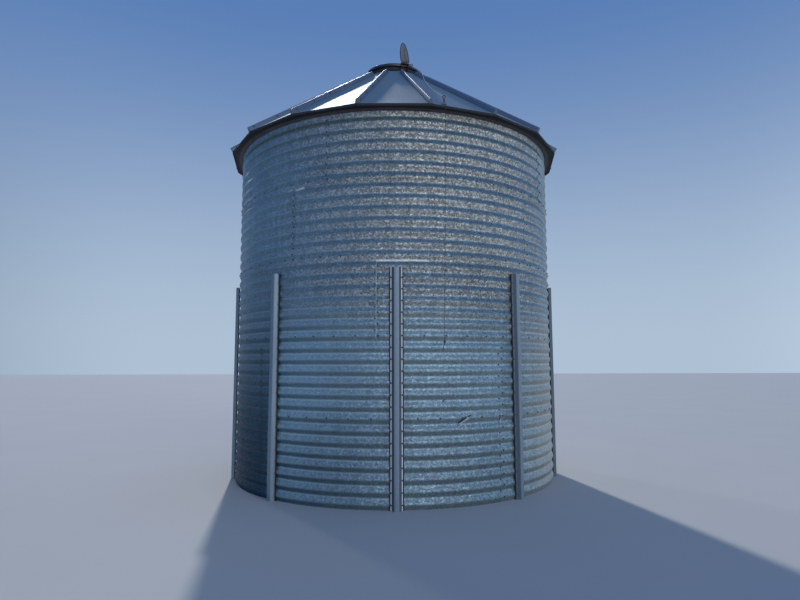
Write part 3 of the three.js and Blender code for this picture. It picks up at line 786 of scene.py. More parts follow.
def close_tree(wiring, geometry, given):
    """Realizes the instances, sets the material and ends the tree."""
    real = wiring.add("GeometryNodeRealizeInstances", {0: geometry})
    painted = wiring.add("GeometryNodeSetMaterial", {
        "Geometry": real.outputs[0], "Material": given["Material"]})
    wiring.add("NodeGroupOutput", {0: painted.outputs[0]})


def grown(name, tree, values, start=None):
    """The plain mesh that a tree makes from the start data, with its inputs set by name."""
    source = piece_from(name + "_source", start or bpy.data.meshes.new(name))
    modifier = source.modifiers.new("shape", "NODES")
    modifier.node_group = tree
    for item in tree.interface.items_tree:
        if item.in_out == "INPUT" and item.name in values:
            modifier[item.identifier] = values[item.name]
    result = bpy.data.meshes.new_from_object(source.evaluated_get(bpy.context.evaluated_depsgraph_get()))
    bpy.data.objects.remove(source)
    result.name = name
    return result


def sheet_tree():
    """Tree for one corrugated sheet bent round the silo, with its end tucked under the next sheet."""
    tree, wiring, given = new_tree(
        "corrugated_sheet", Int="Columns, Rows", Material="Material",
        Float="Start, Sweep, Base, Top, Radius, Depth, Pitch, Shift, Step, Tuck, Tuck height, Tone")
    grid = wiring.add("GeometryNodeMeshGrid", {
        "Size X": 1.0, "Size Y": 1.0, "Vertices X": given["Columns"], "Vertices Y": given["Rows"]})
    spot = wiring.add("ShaderNodeSeparateXYZ", {0: wiring.add("GeometryNodeInputPosition").outputs[0]})
    along = wiring.math("ADD", spot.outputs["X"], 0.5)
    up = wiring.math("ADD", spot.outputs["Y"], 0.5)
    azimuth = wiring.math("RADIANS", wiring.math("MULTIPLY_ADD", along, given["Sweep"], given["Start"]))
    height = wiring.spread(up, 0.0, 1.0, given["Base"], given["Top"])
    turns = wiring.math("DIVIDE", wiring.math("ADD", height, given["Shift"]), given["Pitch"])
    phase = wiring.math("MULTIPLY", turns, 2 * math.pi)
    half_depth = wiring.math("MULTIPLY", given["Depth"], -0.5)
    radius = wiring.math("MULTIPLY_ADD", wiring.math("COSINE", phase), half_depth, given["Radius"])
    inward = wiring.math("MULTIPLY", wiring.math("SUBTRACT", 1.0, along), given["Step"])
    radius = wiring.math("SUBTRACT", radius, inward)
    tuck_foot = wiring.math("SUBTRACT", given["Top"], given["Tuck height"])
    tuck_head = wiring.math("MULTIPLY_ADD", given["Tuck height"], 0.25, tuck_foot)
    radius = wiring.math("SUBTRACT", radius, wiring.spread(height, tuck_foot, tuck_head, 0.0, given["Tuck"]))
    x = wiring.math("MULTIPLY", radius, wiring.math("SINE", azimuth))
    y = wiring.math("MULTIPLY", radius, wiring.math("MULTIPLY", wiring.math("COSINE", azimuth), -1.0))
    there = wiring.add("ShaderNodeCombineXYZ", {"X": x, "Y": y, "Z": height}).outputs[0]
    bent = wiring.add("GeometryNodeSetPosition", {"Geometry": grid.outputs["Mesh"], "Position": there})
    smooth = wiring.add("GeometryNodeSetShadeSmooth", {0: bent.outputs[0]})
    toned = wiring.add("GeometryNodeStoreNamedAttribute", {
        "Geometry": smooth.outputs[0], "Name": "sheet_tone", "Value": given["Tone"]},
        data_type="FLOAT", domain="POINT")
    close_tree(wiring, toned.outputs[0], given)
    return tree


def bolt_tree():
    """Tree that sets a bolt with its sealing washer at each point, along the direction stored as out."""
    tree, wiring, given = new_tree(
        "bolts", Geometry="Geometry", Int="Seed", Material="Washer material, Material",
        Float="Head width, Head height, Washer radius, Washer height")
    washer = wiring.add("GeometryNodeMeshCone", {
        "Vertices": 10, "Radius Top": wiring.math("MULTIPLY", given["Washer radius"], 0.7),
        "Radius Bottom": given["Washer radius"], "Depth": given["Washer height"]})
    half_width = wiring.math("MULTIPLY", given["Head width"], 0.577)
    head = wiring.add("GeometryNodeMeshCylinder", {
        "Vertices": 6, "Radius": half_width, "Depth": given["Head height"]})
    seat = wiring.math("MULTIPLY", given["Washer height"], 0.9)
    lift = wiring.math("MULTIPLY_ADD", given["Head height"], 0.5, seat)
    raised = wiring.add("GeometryNodeTransform", {
        "Geometry": head.outputs["Mesh"],
        "Translation": wiring.add("ShaderNodeCombineXYZ", {"Z": lift}).outputs[0]})
    marked = wiring.add("GeometryNodeStoreNamedAttribute", {
        "Geometry": raised.outputs[0], "Name": "bolt_head", "Value": 1.0}, data_type="FLOAT", domain="FACE")
    both = wiring.add("GeometryNodeJoinGeometry")
    wiring.feed(both.inputs[0], washer.outputs["Mesh"])
    wiring.feed(both.inputs[0], marked.outputs[0])
    out = wiring.add("GeometryNodeInputNamedAttribute", {"Name": "out"}, data_type="FLOAT_VECTOR").outputs[0]
    aim = wiring.add("FunctionNodeAlignRotationToVector", {"Vector": out}, axis="Z")
    spin = wiring.add(
        "FunctionNodeRandomValue", {"Seed": given["Seed"], 2: 0.0, 3: math.pi}, data_type="FLOAT")
    turn = wiring.add("FunctionNodeAxisAngleToRotation", {"Axis": (0, 0, 1), "Angle": spin.outputs[1]})
    aimed = wiring.add("FunctionNodeRotateRotation", {
        "Rotation": aim.outputs[0], "Rotate By": turn.outputs[0]}, rotation_space="LOCAL")
    set_out = wiring.add("GeometryNodeInstanceOnPoints", {
        "Points": given["Geometry"], "Instance": both.outputs[0], "Rotation": aimed.outputs[0]})
    real = wiring.add("GeometryNodeRealizeInstances", {0: set_out.outputs[0]})
    dark = wiring.add("GeometryNodeSetMaterial", {
        "Geometry": real.outputs[0], "Material": given["Washer material"]})
    stored = wiring.add("GeometryNodeInputNamedAttribute", {"Name": "bolt_head"}, data_type="FLOAT")
    chosen = wiring.add(
        "FunctionNodeCompare", {0: stored.outputs[0], 1: 0.5}, data_type="FLOAT", operation="GREATER_THAN")
    painted = wiring.add("GeometryNodeSetMaterial", {
        "Geometry": dark.outputs[0], "Selection": chosen.outputs[0], "Material": given["Material"]})
    wiring.add("NodeGroupOutput", {0: painted.outputs[0]})
    return tree


def rope_tree():
    """Tree that lays three strands round a curve as one twisted rope."""
    tree, wiring, given = new_tree(
        "twisted_rope", Geometry="Geometry", Float="Radius, Lay, Step, Strand", Material="Material")
    fine = wiring.add(
        "GeometryNodeResampleCurve", {"Curve": given["Geometry"], "Length": given["Step"]}, mode="LENGTH")
    run = wiring.add("GeometryNodeSplineParameter").outputs["Length"]
    angle = wiring.math("MULTIPLY", wiring.math("DIVIDE", run, given["Lay"]), 2 * math.pi)
    turned = wiring.add("GeometryNodeSetCurveTilt", {"Curve": fine.outputs[0], "Tilt": angle})
    ring = wiring.add("GeometryNodeCurvePrimitiveCircle", {"Resolution": 15, "Radius": 1.0}, mode="RADIUS")
    spot = wiring.add("GeometryNodeInputPosition").outputs[0]
    parts = wiring.add("ShaderNodeSeparateXYZ", {0: spot})
    around = wiring.math("ARCTAN2", parts.outputs["Y"], parts.outputs["X"])
    lobe = wiring.math("COSINE", wiring.math("MULTIPLY", around, 3.0))
    reach = wiring.math("MULTIPLY_ADD", wiring.math("SUBTRACT", lobe, 1.0), given["Strand"], 1.0)
    reach = wiring.math("MULTIPLY", reach, given["Radius"])
    there = wiring.add("ShaderNodeVectorMath", {0: spot, "Scale": reach}, operation="SCALE").outputs[0]
    section = wiring.add("GeometryNodeSetPosition", {"Geometry": ring.outputs[0], "Position": there})
    tube = wiring.add("GeometryNodeCurveToMesh", {
        "Curve": turned.outputs[0], "Profile Curve": section.outputs[0], "Fill Caps": True})
    smooth = wiring.add("GeometryNodeSetShadeSmooth", {0: tube.outputs[0]})
    close_tree(wiring, smooth.outputs[0], given)
    return tree


def bolts(name, spots, seed, width=0.013, height=0.0055, washer=0.010):
    """A piece with a bolt at each spot, given as a point and the direction that it faces."""
    start = bpy.data.meshes.new(name)
    start.from_pydata([tuple(point) for point, _ in spots], [], [])
    facing = start.attributes.new("out", "FLOAT_VECTOR", "POINT")
    facing.data.foreach_set("vector", [number for _, out in spots for number in out])
    tree = bpy.data.node_groups.get("bolts") or bolt_tree()
    mesh = grown(name, tree, {
        "Head width": width, "Head height": height, "Washer radius": washer, "Washer height": 0.0025,
        "Seed": seed, "Material": finish_of("bolt_zinc"),
        "Washer material": finish_of("washer_rubber")}, start)
    return piece_from(name, mesh)


def smooth_route(corners, pieces=24):
    """Points along a centripetal spline through the corners."""
    points = [Vector(corner) for corner in corners]
    points = [2 * points[0] - points[1], *points, 2 * points[-1] - points[-2]]
    route = []
    for a, b, c, d in zip(points, points[1:], points[2:], points[3:]):
        ka = 0.0
        kb = ka + math.sqrt((b - a).length)
        kc = kb + math.sqrt((c - b).length)
        kd = kc + math.sqrt((d - c).length)
        for step in range(pieces):
            k = kb + (kc - kb) * step / pieces
            ab = a.lerp(b, (k - ka) / (kb - ka))
            bc = b.lerp(c, (k - kb) / (kc - kb))
            cd = c.lerp(d, (k - kc) / (kd - kc))
            abc = ab.lerp(bc, (k - ka) / (kc - ka))
            bcd = bc.lerp(cd, (k - kb) / (kd - kb))
            route.append(abc.lerp(bcd, (k - kb) / (kc - kb)))
    return [*route, points[-2]]


def line_of(name, points):
    """Curve data with one open spline through the points."""
    line = bpy.data.curves.new(name, "CURVE")
    line.dimensions = "3D"
    line.twist_mode = "MINIMUM"
    spline = line.splines.new("POLY")
    spline.points.add(len(points) - 1)
    for target, point in zip(spline.points, points):
        target.co = (*point, 1.0)
    return line


def twisted(name, points, radius, lay, step):
    """A mesh of twisted rope along the points."""
    tree = bpy.data.node_groups.get("twisted_rope") or rope_tree()
    return grown(name, tree, {
        "Radius": radius, "Lay": lay, "Step": step, "Strand": 0.10, "Material": finish_of("rope_strands")},
        line_of(name, points))


def rounded(corners, radius, steps=3, closed=True):
    """The outline with its corners rounded."""
    points = [Vector(corner) for corner in corners]
    count = len(points)
    result = []
    for index, corner in enumerate(points):
        if not closed and index in (0, count - 1):
            result.append(corner)
            continue
        before = points[index - 1] - corner
        after = points[(index + 1) % count] - corner
        reach = min(radius, before.length * 0.45, after.length * 0.45)
        start = corner + before.normalized() * reach
        end = corner + after.normalized() * reach
        for step in range(steps + 1):
            share = step / steps
            result.append(start * (1 - share) ** 2 + corner * 2 * share * (1 - share) + end * share ** 2)
    return result


def prism(name, outline, stations):
    """A closed solid from a flat outline carried through matrices that place the outline's plane."""
    count = len(outline)
    points = [station @ Vector((x, y, 0)) for station in stations for x, y in outline]
    faces = [list(range(count)), list(range(len(points) - count, len(points)))]
    for station in range(len(stations) - 1):
        for corner in range(count):
            here = station * count
            following = (corner + 1) % count
            faces.append([here + corner, here + following, here + count + following, here + count + corner])
    return mesh_of(name, points, faces)


def lathe(name, outline, sides=96):
    """A closed solid of revolution from an outline of distance and height."""
    count = len(outline)
    points = [place(360 * side / sides, radius, height)
              for side in range(sides) for radius, height in outline]
    faces = []
    for side in range(sides):
        following = (side + 1) % sides
        for corner in range(count):
            after = (corner + 1) % count
            faces.append([side * count + corner, side * count + after,
                          following * count + after, following * count + corner])
    return mesh_of(name, points, faces)


def circle(radius, sides):
    """A round outline."""
    turns = (2 * math.pi * side / sides for side in range(sides))
    return [(radius * math.cos(turn), radius * math.sin(turn)) for turn in turns]


def tube(name, points, radius, sides=10):
    """A closed round wire through the points."""
    rings = []
    side = None
    for index, point in enumerate(points):
        before = points[max(index - 1, 0)]
        after = points[min(index + 1, len(points) - 1)]
        way = (after - before).normalized()
        side = side or way.orthogonal()
        side = (side - way * side.dot(way)).normalized()
        rings.append(basis(side, way.cross(side), way, point))
    return softened(prism(name, circle(radius, sides), rings))


def basis(x, y, z, origin):
    """A matrix from its axes and its origin."""
    return Matrix.Translation(origin) @ Matrix((x, y, z)).transposed().to_4x4()


def hinge_frame():
    """The hinge's own frame: X points out from the peak and Y runs along the hinge."""
    along = Vector(HINGE["axis"]).normalized()
    up = Vector((0, 0, 1))
    return basis(along.cross(up), along, up, Vector(HINGE["pos_m"]))


def plate(name, size, matrix, bevel):
    """A small bevelled plate."""
    x, y, z = (value / 2 for value in size)
    ends = [matrix @ Matrix.Translation((0, 0, height)) for height in (-z, z)]
    return bevelled(prism(name, [(-x, -y), (x, -y), (x, y), (-x, y)], ends), bevel)


def frame_copy(node):
    """A merged copy of a CAD node's mesh."""
    shape = bmesh.new()
    shape.from_mesh(frame["nodes"][node].data)
    bmesh.ops.remove_doubles(shape, verts=shape.verts, dist=1e-5)
    bmesh.ops.dissolve_limit(shape, angle_limit=math.radians(1), verts=shape.verts, edges=shape.edges)
    mesh = bpy.data.meshes.new(node + "_copy")
    shape.to_mesh(mesh)
    shape.free()
    return mesh


class SILO_OT_stage(bpy.types.Operator):
    """Sets up the camera, the pale floor and the soft studio light."""

    bl_idname = "silo.stage"
    bl_label = "Stage"

    def execute(self, context):
        stage = context.scene.silo_stage
        self.set_camera(context, stage)
        self.set_floor()
        self.set_lights(stage)
        self.set_world(context, stage)
        context.scene.view_settings.view_transform = "Standard"
        return {"FINISHED"}

    def set_camera(self, context, stage):
        """Places the camera as the photograph was taken."""
        flat = math.cos(stage.tilt)
        ahead = Vector((math.sin(stage.turn) * flat, math.cos(stage.turn) * flat, math.sin(stage.tilt)))
        level = Vector((math.cos(stage.turn), -math.sin(stage.turn), 0))
        above = level.cross(ahead)
        right = level * math.cos(stage.roll) + above * math.sin(stage.roll)
        data = bpy.data.cameras.new("camera")
        data.sensor_width = 36
        data.lens = stage.lens
        camera = piece_from("camera", data)
        stand = Vector((0, -stage.distance, stage.height))
        camera.matrix_world = basis(right, right.cross(ahead), -ahead, stand)
        context.scene.camera = camera

    def set_floor(self):
        """A wide pale floor under the silo."""
        reach = 60
        corners = [(-reach, -reach, 0), (reach, -reach, 0), (reach, reach, 0), (-reach, reach, 0)]
        mesh = bpy.data.meshes.new("studio_floor")
        mesh.from_pydata(corners, [], [(0, 1, 2, 3)])
        mesh.materials.append(studio_floor())
        piece_from("studio_floor", mesh)

    def set_lights(self, stage):
        """A broad soft light from the right in front and two narrower ones from behind on the left."""
        for name, azimuth, elevation, strength, spread, tint in (
            ("key", 22, 16, stage.key, 50, (1.0, 0.96, 0.90)),
            ("back", 191, 39, stage.back, 2, (1.0, 0.98, 0.94)),
            ("rim", 214, 31, stage.rim, 3, (1.0, 0.98, 0.94)),
        ):
            light = bpy.data.lights.new(name, "SUN")
            light.energy = strength
            light.angle = math.radians(spread)
            light.color = tint
            rise = math.radians(elevation)
            toward = place(azimuth, math.cos(rise), math.sin(rise))
            piece_from(name, light).matrix_world = toward.to_track_quat("Z", "Y").to_matrix().to_4x4()

    def set_world(self, context, stage):
        """A soft dome, cooler above than at the horizon and darker to the left in front."""
        world = bpy.data.worlds.new("studio_dome")
        world.use_nodes = True
        context.scene.world = world
        wiring = Wiring(world.node_tree)
        way = wiring.add("ShaderNodeTexCoord").outputs["Generated"]
        parts = wiring.add("ShaderNodeSeparateXYZ", {0: way}).outputs
        left = wiring.eased(self.toward(wiring, parts, -80), 0.2, 1.0)
        right = wiring.eased(self.toward(wiring, parts, 80), 0.3, 1.0)
        level = wiring.mix(left, rgb((0.42, 0.53, 0.66)), rgb((0.04, 0.08, 0.14)))
        level = wiring.mix(right, level, rgb((0.82, 0.98, 1.15)))
        dome = wiring.mix(wiring.eased(parts["Z"], 0.0, 0.6), level, rgb((0.09, 0.20, 0.46)))
        background = world.node_tree.nodes["Background"]
        wiring.feed(background.inputs["Color"], dome)
        background.inputs["Strength"].default_value = stage.sky

    def toward(self, wiring, parts, azimuth):
        """How far a direction points towards an azimuth."""
        way = outward(azimuth)
        return wiring.math("MULTIPLY_ADD", parts["X"], way.x, wiring.math("MULTIPLY", parts["Y"], way.y))


class SILO_OT_rope(bpy.types.Operator):
    """Makes the pull rope with its knot, and the guide that it runs through."""

    bl_idname = "silo.rope"
    bl_label = "Pull rope"

    def execute(self, context):
        sizes = context.scene.silo_rope
        route = smooth_route(ROPE_ROUTE)
        rope = piece_from("twisted_rope", twisted("twisted_rope", route, sizes.radius, sizes.lay, sizes.step))
        settle(rope, "rope_strands", stands_for=["pull_rope"])
        knot = piece_from("tied_knot", self.knot(sizes, route[-1]))
        settle(knot, "rope_strands", stands_for=["rope_knot"])
        guide = piece_from("wire_rope_guide", self.guide(context))
        settle(guide, "rusted_steel", stands_for=["rope_guide"])
        return {"FINISHED"}

    def knot(self, sizes, top):
        """An overhand knot with a short tail that hangs askew."""
        middle = top - Vector((0, 0, sizes.knot_height * 0.52))
        half_size = Vector((0.0105, 0.006, 0.0135))
        steps = 60
        loop = []
        for step in range(steps + 1):
            turn = 2 * math.pi * (0.04 + 0.92 * step / steps)
            x = (math.sin(turn) + 2 * math.sin(2 * turn)) / 3
            z = (math.cos(turn) - 2 * math.cos(2 * turn)) / 3
            loop.append(middle + Vector((x, -math.sin(3 * turn), z)) * half_size)
        lean = math.radians(14)
        foot = top - Vector((0, 0, sizes.knot_height))
        hidden = Vector((0, 0, 0.012))
        down = Vector((-math.sin(lean), 0, -math.cos(lean)))
        tail = [foot + hidden + down * run for run in (0, 0.02, 0.04, 0.06, sizes.tail + 0.008)]
        strand = sizes.radius * 1.45
        return joined("tied_knot", [
            twisted("knot_loop", loop, strand, sizes.lay, sizes.step / 2),
            twisted("knot_core", [top, middle, foot], strand, sizes.lay, sizes.step),
            twisted("knot_tail", tail, strand, sizes.lay, sizes.step),
        ])

    def guide(self, context):
        """A wire ring on two legs, on a foot plate that is bolted to the panel."""
        sizes = context.scene.silo_rope
        roof = context.scene.silo_roof
        middle = round(sizes.guide_azimuth / PANEL_ANGLE) * PANEL_ANGLE
        off_middle = math.radians(sizes.guide_azimuth - middle)
        distance = sizes.guide_radius * math.cos(off_middle)
        spot = place(sizes.guide_azimuth, sizes.guide_radius, panel_height(roof, distance))
        down = outward(middle) * math.cos(roof.pitch) - Vector((0, 0, math.sin(roof.pitch)))
        normal = outward(middle) * math.sin(roof.pitch) + Vector((0, 0, math.cos(roof.pitch)))
        flat = basis(down, normal.cross(down), normal, spot + normal * 0.0024)
        foot = plate("foot", (0.036, 0.056, 0.004), flat, 0.0008)
        centre = place(sizes.guide_azimuth, sizes.guide_radius, sizes.guide_height)
        side = sideways(sizes.guide_azimuth)
        up = Vector((0, 0, 1))
        turns = [2 * math.pi * step / 28 for step in range(29)]
        ring = [centre + (side * math.cos(turn) + up * math.sin(turn)) * sizes.guide_ring for turn in turns]
        top = centre - up * sizes.guide_ring
        feet = [spot + side * shift for shift in (-0.013, 0.013)]
        legs = [[leg_foot + normal * 0.003, leg_foot + up * 0.016, top] for leg_foot in feet]
        wires = [tube("wire", points, sizes.guide_wire) for points in (ring, *legs)]
        return joined("guide", [foot, *wires])


def sheet_starts(tier):
    """Azimuths at which a tier's sheets start, with their sweeps."""
    starts = []
    azimuth = FIRST_SEAMS[tier]
    for sweep in SHEET_SWEEPS:
        starts.append((azimuth, sweep))
        azimuth += sweep
    return starts


def unrolled(point, radius):
    """A point of the wall as its way round the wall and its height."""
    return Vector((math.atan2(point.x, -point.y) * radius, point.z))


def off_line(spot, start, end):
    """Distance of a flat spot from the line between two others."""
    way = end - start
    share = max(0.0, min(1.0, (spot - start).dot(way) / way.length_squared))
    return (spot - start - way * share).length


def refined(shape, radius, mark, near, finest):
    """Splits the wall's edges near a mark until they are fine enough for it."""
    low, high = band_of(mark, near)
    for _ in range(5):
        edges = []
        for edge in shape.edges:
            heights = [vert.co.z for vert in edge.verts]
            if max(heights) < low or min(heights) > high or edge.calc_length() < finest:
                continue
            middle = (edge.verts[0].co + edge.verts[1].co) / 2
            if off_line(unrolled(middle, radius), *mark) < near + edge.calc_length() * 0.7:
                edges.append(edge)
        if not edges:
            break
        bmesh.ops.subdivide_edges(shape, edges=edges, cuts=1, use_grid_fill=True)


def band_of(mark, near):
    """Lowest and highest place that a mark reaches."""
    heights = [spot.y for spot in mark]
    return min(heights) - near, max(heights) + near


def pressed_marks(mesh, radius):
    """Presses the wall's dents into the mesh and stores how dark or bright each point is; bright is a painted
    glint.
    """
    shape = bmesh.new()
    shape.from_mesh(mesh)
    values = shape.verts.layers.float.new("mark")
    for start, end, half_width, depth, tone in WALL_MARKS:
        mark = [Vector((math.radians(azimuth) * radius, height)) for azimuth, height in (start, end)]
        near = half_width * 2.5
        refined(shape, radius, mark, near, half_width * 0.5)
        low, high = band_of(mark, near)
        for vert in shape.verts:
            if not low < vert.co.z < high:
                continue
            distance = off_line(unrolled(vert.co, radius), *mark)
            if distance < near:
                fade = 1 - distance / near
                out = Vector((vert.co.x, vert.co.y, 0)).normalized()
                vert.co -= out * depth * fade * fade * (3 - 2 * fade)
            if distance < half_width:
                vert[values] = tone * min(1.0, 2 * (1 - distance / half_width))
    bmesh.ops.triangulate(shape, faces=[face for face in shape.faces if len(face.verts) > 4])
    shape.to_mesh(mesh)
    shape.free()
    return mesh


class SILO_OT_wall(bpy.types.Operator):
    """Makes the five tiers of corrugated sheets and their bolts."""

    bl_idname = "silo.wall"
    bl_label = "Wall sheets"

    def execute(self, context):
        sizes = context.scene.silo_wall
        tree = sheet_tree()
        tones = np.random.default_rng(7).uniform(-0.06, 0.06, (TIERS, len(SHEET_SWEEPS)))
        spots = []
        for tier in range(TIERS):
            sheets = [self.sheet(sizes, tree, tier, start, sweep, float(tone))
                      for (start, sweep), tone in zip(sheet_starts(tier), tones[tier])]
            wall = softened(pressed_marks(joined("wall_tier", sheets), sizes.radius), 50)
            coated(wall, "wall_spangle", "edge_shade_and_stain")
            nodes = [f"wall_tier_{tier + 1}_sheets_{index + 1}" for index in range(SHEET_NODES)]
            settle(piece_from(f"wall_tier_{tier + 1}", wall), "wall_spangle", stands_for=nodes)
            spots += self.bolt_spots(sizes, tier)
        settle(bolts("wall_bolts", spots, 3), "bolt_zinc")
        return {"FINISHED"}

    def sheet(self, sizes, tree, tier, start, sweep, tone):
        """One sheet with its thickness and its stained edges."""
        pitch = TIER_HEIGHT / sizes.corrugations
        base = tier * TIER_HEIGHT - (TIER_DROP if tier else 0)
        last = tier == TIERS - 1
        top = WALL_TOP if last else (tier + 1) * TIER_HEIGHT + sizes.tier_lap
        lap = math.degrees(sizes.end_lap / sizes.radius)
        mesh = grown(f"sheet_{tier + 1}", tree, {
            "Start": start - lap / 2, "Sweep": sweep + lap, "Base": base, "Top": top, "Radius": sizes.radius,
            "Depth": sizes.depth, "Pitch": pitch, "Shift": sizes.shift, "Step": LAP_STEP,
            "Columns": int(sweep / COLUMN_SWEEP) + 1,
            "Rows": round((top - base) / pitch * CORRUGATION_ROWS) + 1,
            "Tuck": 0.0 if last else TUCK, "Tuck height": sizes.tier_lap + TUCK_RUN_OUT, "Tone": tone,
            "Material": finish_of("wall_spangle")})
        return worked("sheet", coated(mesh, "wall_spangle", "edge_shade_and_stain"), ("SOLIDIFY", {
            "thickness": sizes.thickness, "offset": -1.0, "material_offset_rim": 1}))

    def bolt_spots(self, sizes, tier):
        """Bolts along the joint over a tier, and down its seams in two staggered columns."""
        spots = []
        pitch = TIER_HEIGHT / sizes.corrugations
        crest = sizes.radius + sizes.depth / 2
        valley = sizes.radius - sizes.depth / 2
        if tier < TIERS - 1:
            joint = (tier + 1) * TIER_HEIGHT + pitch / 2 - sizes.shift
            for index in range(round(360 / sizes.bolt_spacing)):
                azimuth = (index + 0.3 * tier) * sizes.bolt_spacing
                spots.append((place(azimuth, crest, joint), outward(azimuth)))
        shift = math.degrees(0.016 / sizes.radius)
        for seam, _ in sheet_starts(tier):
            for half in range(1, 2 * sizes.corrugations):
                height = tier * TIER_HEIGHT + half * pitch / 2 - sizes.shift
                azimuth = seam + (shift if half % 2 else -shift)
                spots.append((place(azimuth, crest if half % 2 else valley, height), outward(azimuth)))
        return spots


class SILO_OT_stiffeners(bpy.types.Operator):
    """Makes the nine hat-section stiffeners and their bolts."""

    bl_idname = "silo.stiffeners"
    bl_label = "Stiffeners"

    def execute(self, context):
        sizes = context.scene.silo_wall
        pitch = TIER_HEIGHT / sizes.corrugations
        seat = sizes.radius + sizes.depth / 2 + STIFFENER_GAP
        flange = (sizes.stiffener_width + sizes.stiffener_mouth) / 4
        spots = []
        for index in range(STIFFENERS):
            azimuth = sizes.azimuth + index * 360 / STIFFENERS
            out = outward(azimuth)
            side = sideways(azimuth)
            ends = [basis(out, side, Vector((0, 0, 1)), out * seat + Vector((0, 0, height)))
                    for height in np.linspace(0, STIFFENER_TOP, 5)]
            mesh = softened(prism("stiffener", self.section(sizes, STIFFENER_METAL), ends))
            coated(mesh, "stiffener_zinc", "stiffener_web", "stiffener_flange", "edge_shade_and_stain")
            for face in mesh.polygons:
                face.material_index = self.finish_index(sizes, side, face)
            hat = piece_from(f"stiffener_hat_{index + 1}", mesh)
            settle(hat, "stiffener_zinc", stands_for=[f"stiffener_{index + 1}"])
            for crest in np.arange(pitch / 2 - sizes.shift, STIFFENER_TOP, pitch):
                for hand in (-1, 1):
                    spot = out * (seat + STIFFENER_METAL) + side * hand * flange + Vector((0, 0, crest))
                    spots.append((spot, out))
        settle(bolts("stiffener_bolts", spots, 5), "bolt_zinc")
        return {"FINISHED"}

    def finish_index(self, sizes, side, face):
        """Which finish a face has: 0 the crown's, 1 the webs' painted shade, 2 the flanges' painted highlight
        or 3 the painted shadow along a flange's edge.
        """
        across = face.center.dot(side)
        off_middle = abs(across)
        # The outer strip of each flange carries painted shadow
        if off_middle > sizes.stiffener_width / 2 - sizes.stain:
            return 3
        if abs(face.normal.dot(side)) > 0.35:
            # The webs carry painted shade, but on the left half they are as pale as the crowns
            return 0 if side.y < -0.1 else 1
        if off_middle > sizes.stiffener_mouth / 2:
            # Away from the front, the flange on the front's hand carries the webs' painted shade
            return 1 if across * side.y < -0.1 * off_middle else 2
        return 0

    def section(self, sizes, metal):
        """Outline of the hat section, from one flange over the crown to the other."""
        half = sizes.stiffener_width / 2
        mouth = sizes.stiffener_mouth / 2
        crown = sizes.stiffener_crown / 2
        deep = sizes.stiffener_depth
        bend = mouth + metal * 0.6
        inner = rounded([(0, half), (0, mouth), (deep - metal, crown - metal), (deep - metal, metal - crown),
                         (0, -mouth), (0, -half)], 0.008, closed=False)
        outer = rounded([(metal, half), (metal, bend), (deep, crown), (deep, -crown), (metal, -bend),
                         (metal, -half)], 0.010, closed=False)
        stain = half - sizes.stain
        return [*inner, (metal, -half), (metal, -stain), *reversed(outer[1:-1]), (metal, stain),
                (metal, half)]


def panel_height(roof, distance):
    """Height of a panel's upper face on its centre line."""
    apothem = roof.eave_radius * math.cos(math.radians(PANEL_ANGLE / 2))
    return roof.eave_height + (apothem - distance) * math.tan(roof.pitch)


def ridge_height(roof, radius):
    """Height of the roof on a rib's line."""
    return panel_height(roof, radius * math.cos(math.radians(PANEL_ANGLE / 2)))


def ridge_slope(roof):
    """Slope of the roof along a rib's line."""
    return math.atan(math.tan(roof.pitch) * math.cos(math.radians(PANEL_ANGLE / 2)))


